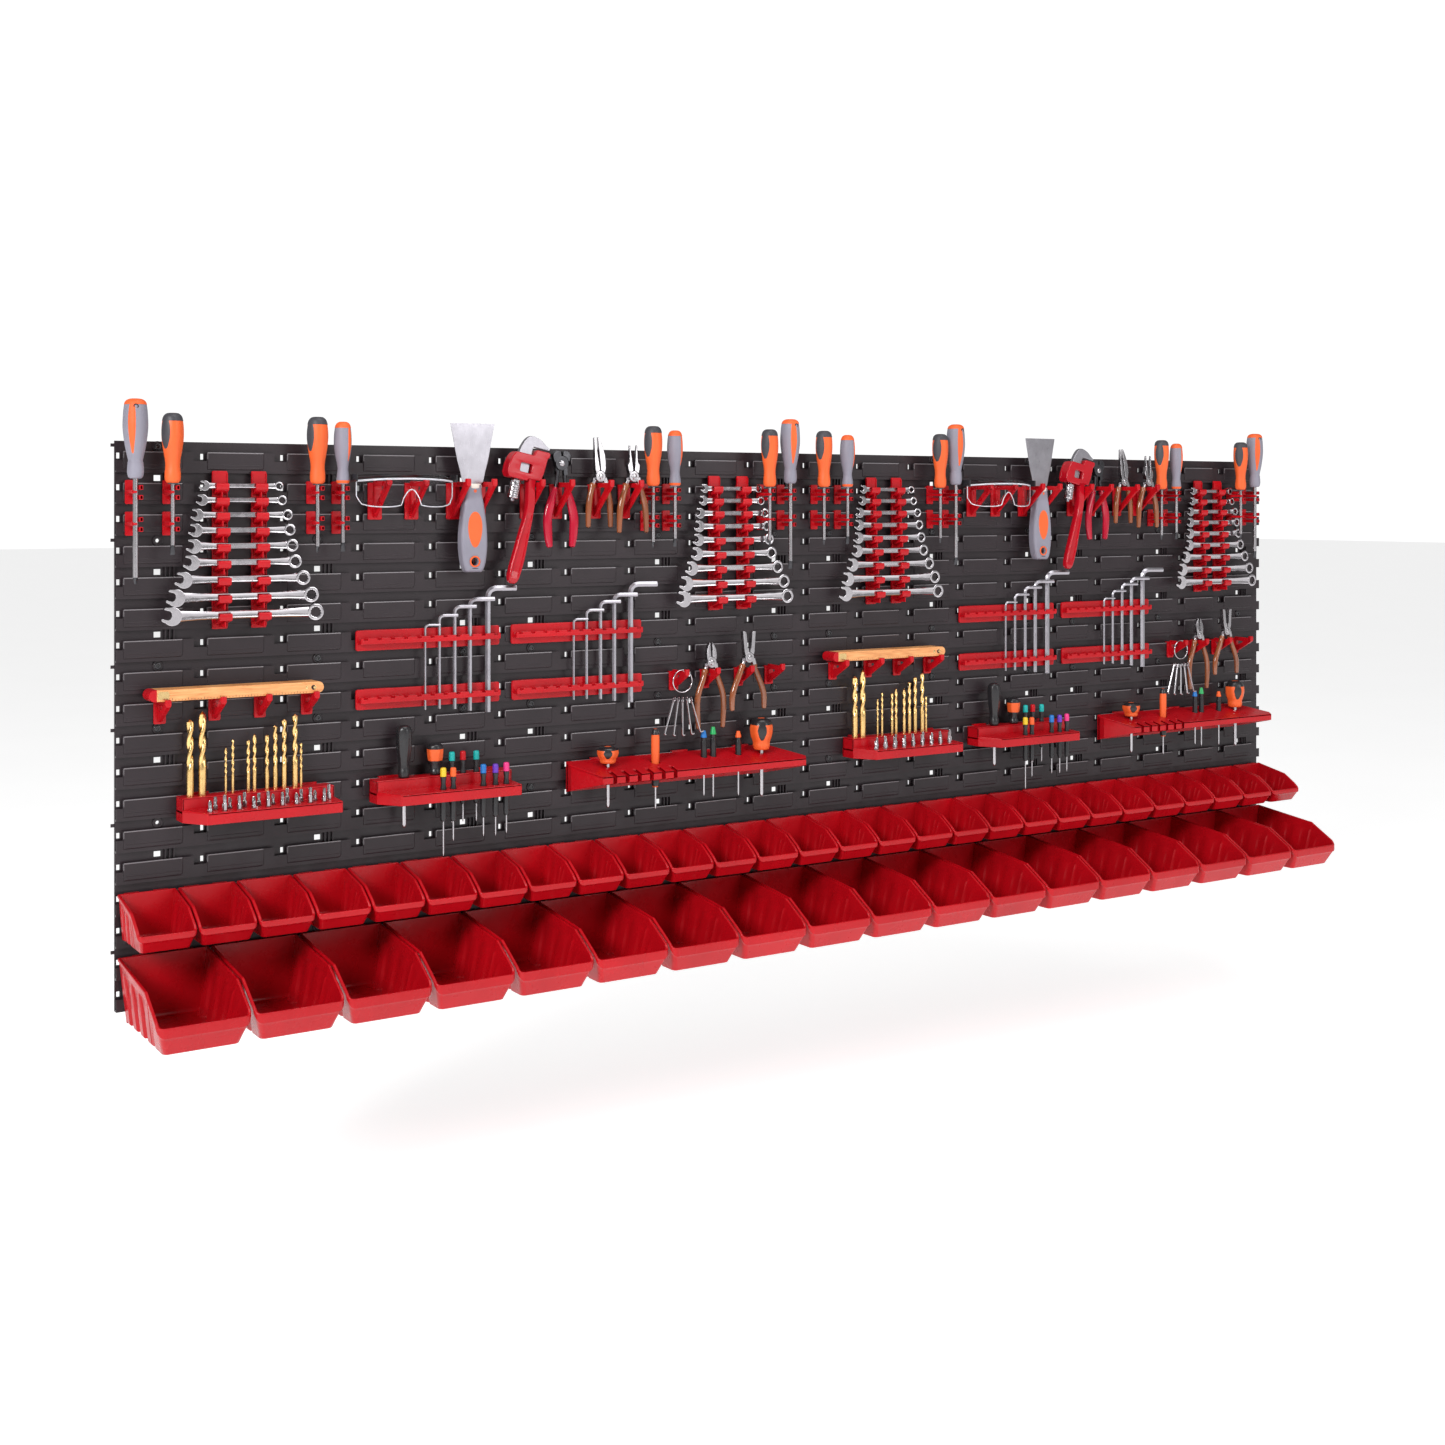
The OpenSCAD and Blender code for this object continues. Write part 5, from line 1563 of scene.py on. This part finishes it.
def plier_arm(kind, side):
    """One arm about its pivot, local depth 0 to 10: metal is material 0 and the grip 1."""
    _, _, web, opening, jaw, line, widths, _ = PLIERS[kind]
    half = PLIER_T / 2
    near = 0.0 if side > 0 else half + 0.1
    thin = {"curved_pliers": 0.42, "needle_pliers": 0.36, "cutter": 0.6}.get(kind, 0.85)
    tip = max(z for _, z in jaw)

    def taper(x, y, z):
        k = min(max((z - web) / (tip - web), 0), 1)
        return (x, -half + (y + half) * (1 - (1 - thin) * k), z)

    solid = prism(outside(jaw, web + 0.4), 0.2, PLIER_T - 0.2, FACING, 0.9)
    s = Shape().put(solid.warp(taper))
    if kind == "curved_pliers":
        s.warp(lambda x, y, z: (x - JAW_CURVE * max(z - 20, 0) ** 2 * side, y, z))
    # Half-thick web: a disc and the roots of the jaw and the handle
    s.put(prism(circle(web, 36), near + 0.05, near + half - 0.15, FACING, 0.4,
                holes=[circle(RIVET_R + 0.05, 20)]))
    root = [p for p in jaw if math.hypot(*p) < web + 9]
    if len(root) > 2:
        s.put(prism(root, near + 0.35, near + half - 0.3, FACING))
    # Handle, crossing to the other side
    pts = spline([(-x, z, w) for (x, z), w in zip(line, widths)], 6)
    pts = [p for p in pts if math.hypot(p[0], p[1]) > web + 0.8]
    stub = [(-line[0][0] - 3.2, line[0][1] + 1), (-line[0][0] + 3.2, line[0][1] - 1),
            (pts[1][0] + 3.0, pts[1][1] - 1.5), (pts[1][0] - 3.0, pts[1][1] - 1.5)]
    s.put(prism(stub, near + 0.35, near + half - 0.3, FACING))
    guard = -35.0 if kind == "red_pliers" else -11.0
    tang = [p for p in pts if p[1] > guard - 6]
    s.put(tube([(x, -half, z) for x, z, _ in tang], [0.4 * w for _, _, w in tang], 16, 0.95))
    grip = [p for p in pts if p[1] < guard]
    path = [(x, -half, z) for x, z, _ in grip]
    radii = [0.5 * w for _, _, w in grip]
    flare = 1.0 if kind == "red_pliers" else 1.42
    radii[0] *= 0.7 * flare
    if len(radii) > 2:
        radii[1] *= flare * 0.98
    path.append(tuple(Vector(path[-1]) + (Vector(path[-1]) - Vector(path[-2])).normalized() * 1.6))
    radii = radii[:-1] + [radii[-1] * 0.96, radii[-1] * 0.45]
    s.put(tube(path, radii, 20, [min(1.0, 4.9 / r) for r in radii], mat=1))
    if side < 0:
        return Shape().put(Shape().put(s, scale(-1, 1, 1)), turn(-opening, "Y"))
    return Shape().put(s, turn(opening, "Y"))


def plier_place(kind, h):
    x, z, depth = PLIERS[kind][0], PLIERS[kind][1], PLIERS[kind][7]
    return at(x + h, z, depth - PLIER_T / 2)


red_fixed, other_fixed, rivets = Shape(), Shape(), Shape()
dome = turned([(RIVET_R, 0), (RIVET_R + 1.5, 0), (RIVET_R + 1.6, 0.3), (RIVET_R + 1.1, 0.9),
               (RIVET_R - 0.4, 1.2), (1.0, 1.25)], 24)
pin = turned([(RIVET_R - 0.06, -0.2), (RIVET_R - 0.06, PLIER_T + 0.2)], 24)
for kind in PLIERS:
    looks = ["dark_steel", "red_grip"] if kind == "red_pliers" else ["steel", "grip"]
    fixed, moving = plier_arm(kind, -1), plier_arm(kind, 1)
    mesh = None
    for h, word in zip(HALVES, ("left", "right")):
        place = plier_place(kind, h)
        (red_fixed if kind == "red_pliers" else other_fixed).put(fixed, place)
        rivets.put(dome, place @ move(0, -PLIER_T - 0.15, 0) @ turn(90, "X"))
        rivets.put(dome, place @ move(0, 0.15, 0) @ turn(-90, "X"))
        rivets.put(pin, place @ turn(90, "X"))
        node = f"{kind}_arm_{word}"
        mesh = piece(node + "_shown", moving, looks, [node], node, place, mesh).data
piece("plier_fixed_arms_red", red_fixed, ["dark_steel", "red_grip"], ["plier_fixed_arms"])
piece("plier_fixed_arms_copper", other_fixed, ["steel", "grip"], ["plier_fixed_arms"])
piece("plier_rivets_shown", rivets, ["steel"], ["plier_rivets"])

# ---- pipe wrench ----

SHANK, SCREW_X, NUT_Z, NUT_H = (-6.0, 15.5), -1.5, -33.0, 29.0
PIPE_X, PIPE_Z, PIPE_D, PIPE_TILT = 589, 734, 46, 12
CHEEKS = ((4.7, 11.0), (-11.0, -4.7))


def pipe_place(h):
    return at(PIPE_X + h, PIPE_Z) @ turn(PIPE_TILT, "Y") @ move(0, -PIPE_D, 0)


def pipe_handle():
    right = [(18, 44), (21, 47.5), (42, 47.5), (43.5, 45.5), (43.5, 40), (40.5, 37), (40, 28),
             (38.5, 14), (36.5, 4.5), (36, 1.4)]
    head = rounded([(-18, -2.5), (-22, 4), (-22, 16), (-19, 29), (-14, 38), (17, 38)] + right
                   + [(15, 1.4), (13, -2.5)],
                   [5, 5, 9, 9, 6, 2] + [3, 3, 2, 1, 1.5, 3, 5, 6, 3, 2] + [1.5, 2])
    window = rounded(rect(-2.5, 17.5, 9.5, 23.5), 2.4)
    s = Shape()
    for a, b in CHEEKS:
        s.put(prism(head, a, b, FACING, 1.6, 3, holes=[window]))
    s.put(prism([(-17.6, -2.1), (-21.6, 4), (-21.6, 16), (-18.6, 29), (-13.8, 37.6), (-6.7, 37.6),
                 (-6.7, -2.1)], -5.5, 5.5, FACING))
    inside = [(x - 0.4 if x > 30 else x + 0.4, z - 0.4 if z > 30 else z + 0.4) for x, z in right]
    s.put(prism([(18, 37.6)] + inside + [(18, 1.8)], -5.5, 5.5, FACING))
    teeth = [(21.6, 46.6)] + [(21.6 + 1.25 * k + (0.2 if k % 2 else 0), 47.95 if k % 2 else 47.4)
                              for k in range(17)] + [(42.0, 46.6)]
    s.put(prism(teeth, -5.5, 5.5, FACING, mat=1))
    rings = []
    for x, z, w, t in spline([(22.5, 2.5, 15, 17), (23.2, -7, 14, 16), (26.3, -22, 14, 15.6),
                              (29.0, -36, 14, 14), (29.8, -48, 14, 12), (29.8, -60, 15, 12),
                              (28.2, -90, 18, 12), (26.5, -122, 21, 12), (24.5, -146, 20, 12),
                              (24.1, -155, 16, 11), (24, -159, 10, 7), (24, -160, 5, 4)], 3):
        b, e = w / 2, t / 2
        sunk = 2.2 if -150 < z < -52 else 0.0
        sec = bar_section((b, 0.4 * e), (0.9 * b, 0.85 * e), (0.78 * b, e), (0.62 * b, e),
                          (0.52 * b, e - sunk))
        rings.append([(x + u, v, z) for u, v in sec])
    s.put(loft(rings))
    return s


def pipe_jaw():
    a, b = SHANK
    outer = spline([(a, 6), (a, 22), (a, 41), (-3, 52), (2, 61.5), (9, 67), (19, 66.8), (29, 63.3),
                    (37, 58), (44.6, 54.3)], 3)
    low = [(43.4, 50.7)] + [(42.6 - 1.3 * k, 50.6 if k % 2 else 51.9) for k in range(18)]
    inner = [(18, 51.6), (b + 1, 51), (b - 0.1, 49.5), (b - 0.1, 6)]
    s = prism([tuple(p) for p in outer] + low + inner, -4, 4, FACING, 0.9)
    profile, z = [(2.6, -37), (3.2, -36.4)], -36.0
    while z < 6:
        profile += [(3.3, z), (3.95, z + 0.6), (3.95, z + 1.0), (3.3, z + 1.6)]
        z += 1.9
    s.put(turned(profile, 20), move(SCREW_X, 0, 0))
    return s


def pipe_nut():
    profile = [(4.35, 0.3), (7.4, 0.0), (8.2, 0.8)]
    z = 1.4
    while z < NUT_H - 2.6:
        profile += [(8.95, z), (8.95, z + 1.9), (8.0, z + 2.5)]
        z += 3.3
    profile += [(8.2, NUT_H - 0.8), (7.4, NUT_H), (4.35, NUT_H - 0.3)]
    return turned(profile, 64, closed=True,
                  form=lambda a, z: 1 - 0.06 * wave(14 * a + 0.9 * z) if 1 < z < NUT_H - 1 else 1)


handles, unit = Shape(), pipe_handle()
jaw, nut = pipe_jaw(), pipe_nut()
jaw_mesh = nut_mesh = None
for h, word in zip(HALVES, ("left", "right")):
    place = pipe_place(h)
    handles.put(unit, place)
    name = f"pipe_wrench_jaw_{word}"
    jaw_mesh = piece(name + "_shown", jaw, ["blade"], [name], name, place, jaw_mesh).data
    name = f"pipe_wrench_nut_{word}"
    nut_mesh = piece(name + "_shown", nut, ["steel"], [name], name,
                     place @ move(SCREW_X, 0, NUT_Z), nut_mesh).data
piece("pipe_wrench_handles_shown", handles, ["paint", "steel"], ["pipe_wrench_handles"])

# ---- studio ----

scene = bpy.context.scene
scene.view_settings.view_transform = "Standard"

camera = bpy.data.objects.new("camera", bpy.data.cameras.new("camera"))
scene.collection.objects.link(camera)
camera.data.lens, camera.data.sensor_width = 44.72, 36.0
camera.data.shift_x, camera.data.shift_y = 0.0, -0.151
camera.data.clip_start, camera.data.clip_end = 0.05, 200.0
camera.location = (-1.791, -2.512, 0.303)
camera.rotation_euler = (math.radians(90), 0, math.radians(-33.0))
scene.camera = camera


def soft_light(name, place, target, size, watts, colour=(1, 1, 1)):
    lamp = bpy.data.lights.new(name, "AREA")
    lamp.shape, lamp.size, lamp.energy, lamp.color = "DISK", size, watts, colour
    ob = bpy.data.objects.new(name, lamp)
    scene.collection.objects.link(ob)
    ob.location = place
    ob.rotation_mode = "QUATERNION"
    ob.rotation_quaternion = (Vector(target) - Vector(place)).to_track_quat("-Z", "Y")


soft_light("key", (-4.0, -2.4, 1.9), (-0.5, 0, 0), 1.4, 130)
soft_light("fill", (1.6, -4.2, 1.6), (0.3, 0, 0), 2.4, 55)
soft_light("top", (-0.3, -1.2, 3.2), (0, 0, 0), 2.2, 45)

world = bpy.data.worlds.new("studio")
scene.world = world
world.use_nodes = True
tree = world.node_tree
background = tree.nodes["Background"]
background.inputs["Color"].default_value = (1, 1, 1, 1)
background.inputs["Strength"].default_value = 0.34
seen = tree.nodes.new("ShaderNodeBackground")
seen.inputs["Color"].default_value = (1, 1, 1, 1)
seen.inputs["Strength"].default_value = 1.05
ray, mix = tree.nodes.new("ShaderNodeLightPath"), tree.nodes.new("ShaderNodeMixShader")
tree.links.new(ray.outputs["Is Camera Ray"], mix.inputs["Fac"])
tree.links.new(background.outputs["Background"], mix.inputs[1])
tree.links.new(seen.outputs["Background"], mix.inputs[2])
tree.links.new(mix.outputs["Shader"], tree.nodes["World Output"].inputs["Surface"])

floor = bpy.data.objects.new("floor", bpy.data.meshes.new("floor"))
scene.collection.objects.link(floor)
far, low = 40.0, cad_lo.z - 0.3
floor.data.from_pydata([(-far, -far, low), (far, -far, low), (far, far, low), (-far, far, low)],
                       [], [(0, 1, 2, 3)])
k = Look("pale_floor")
k.colour(k.ramp(k.noise(0.4, 3), [(0.3, (0.93, 0.93, 0.93)), (0.7, (0.96, 0.96, 0.96))]))
k.set(Roughness=0.8, Emission_Color=(1, 1, 1, 1), Emission_Strength=0.55)
floor.data.materials.append(k.material)
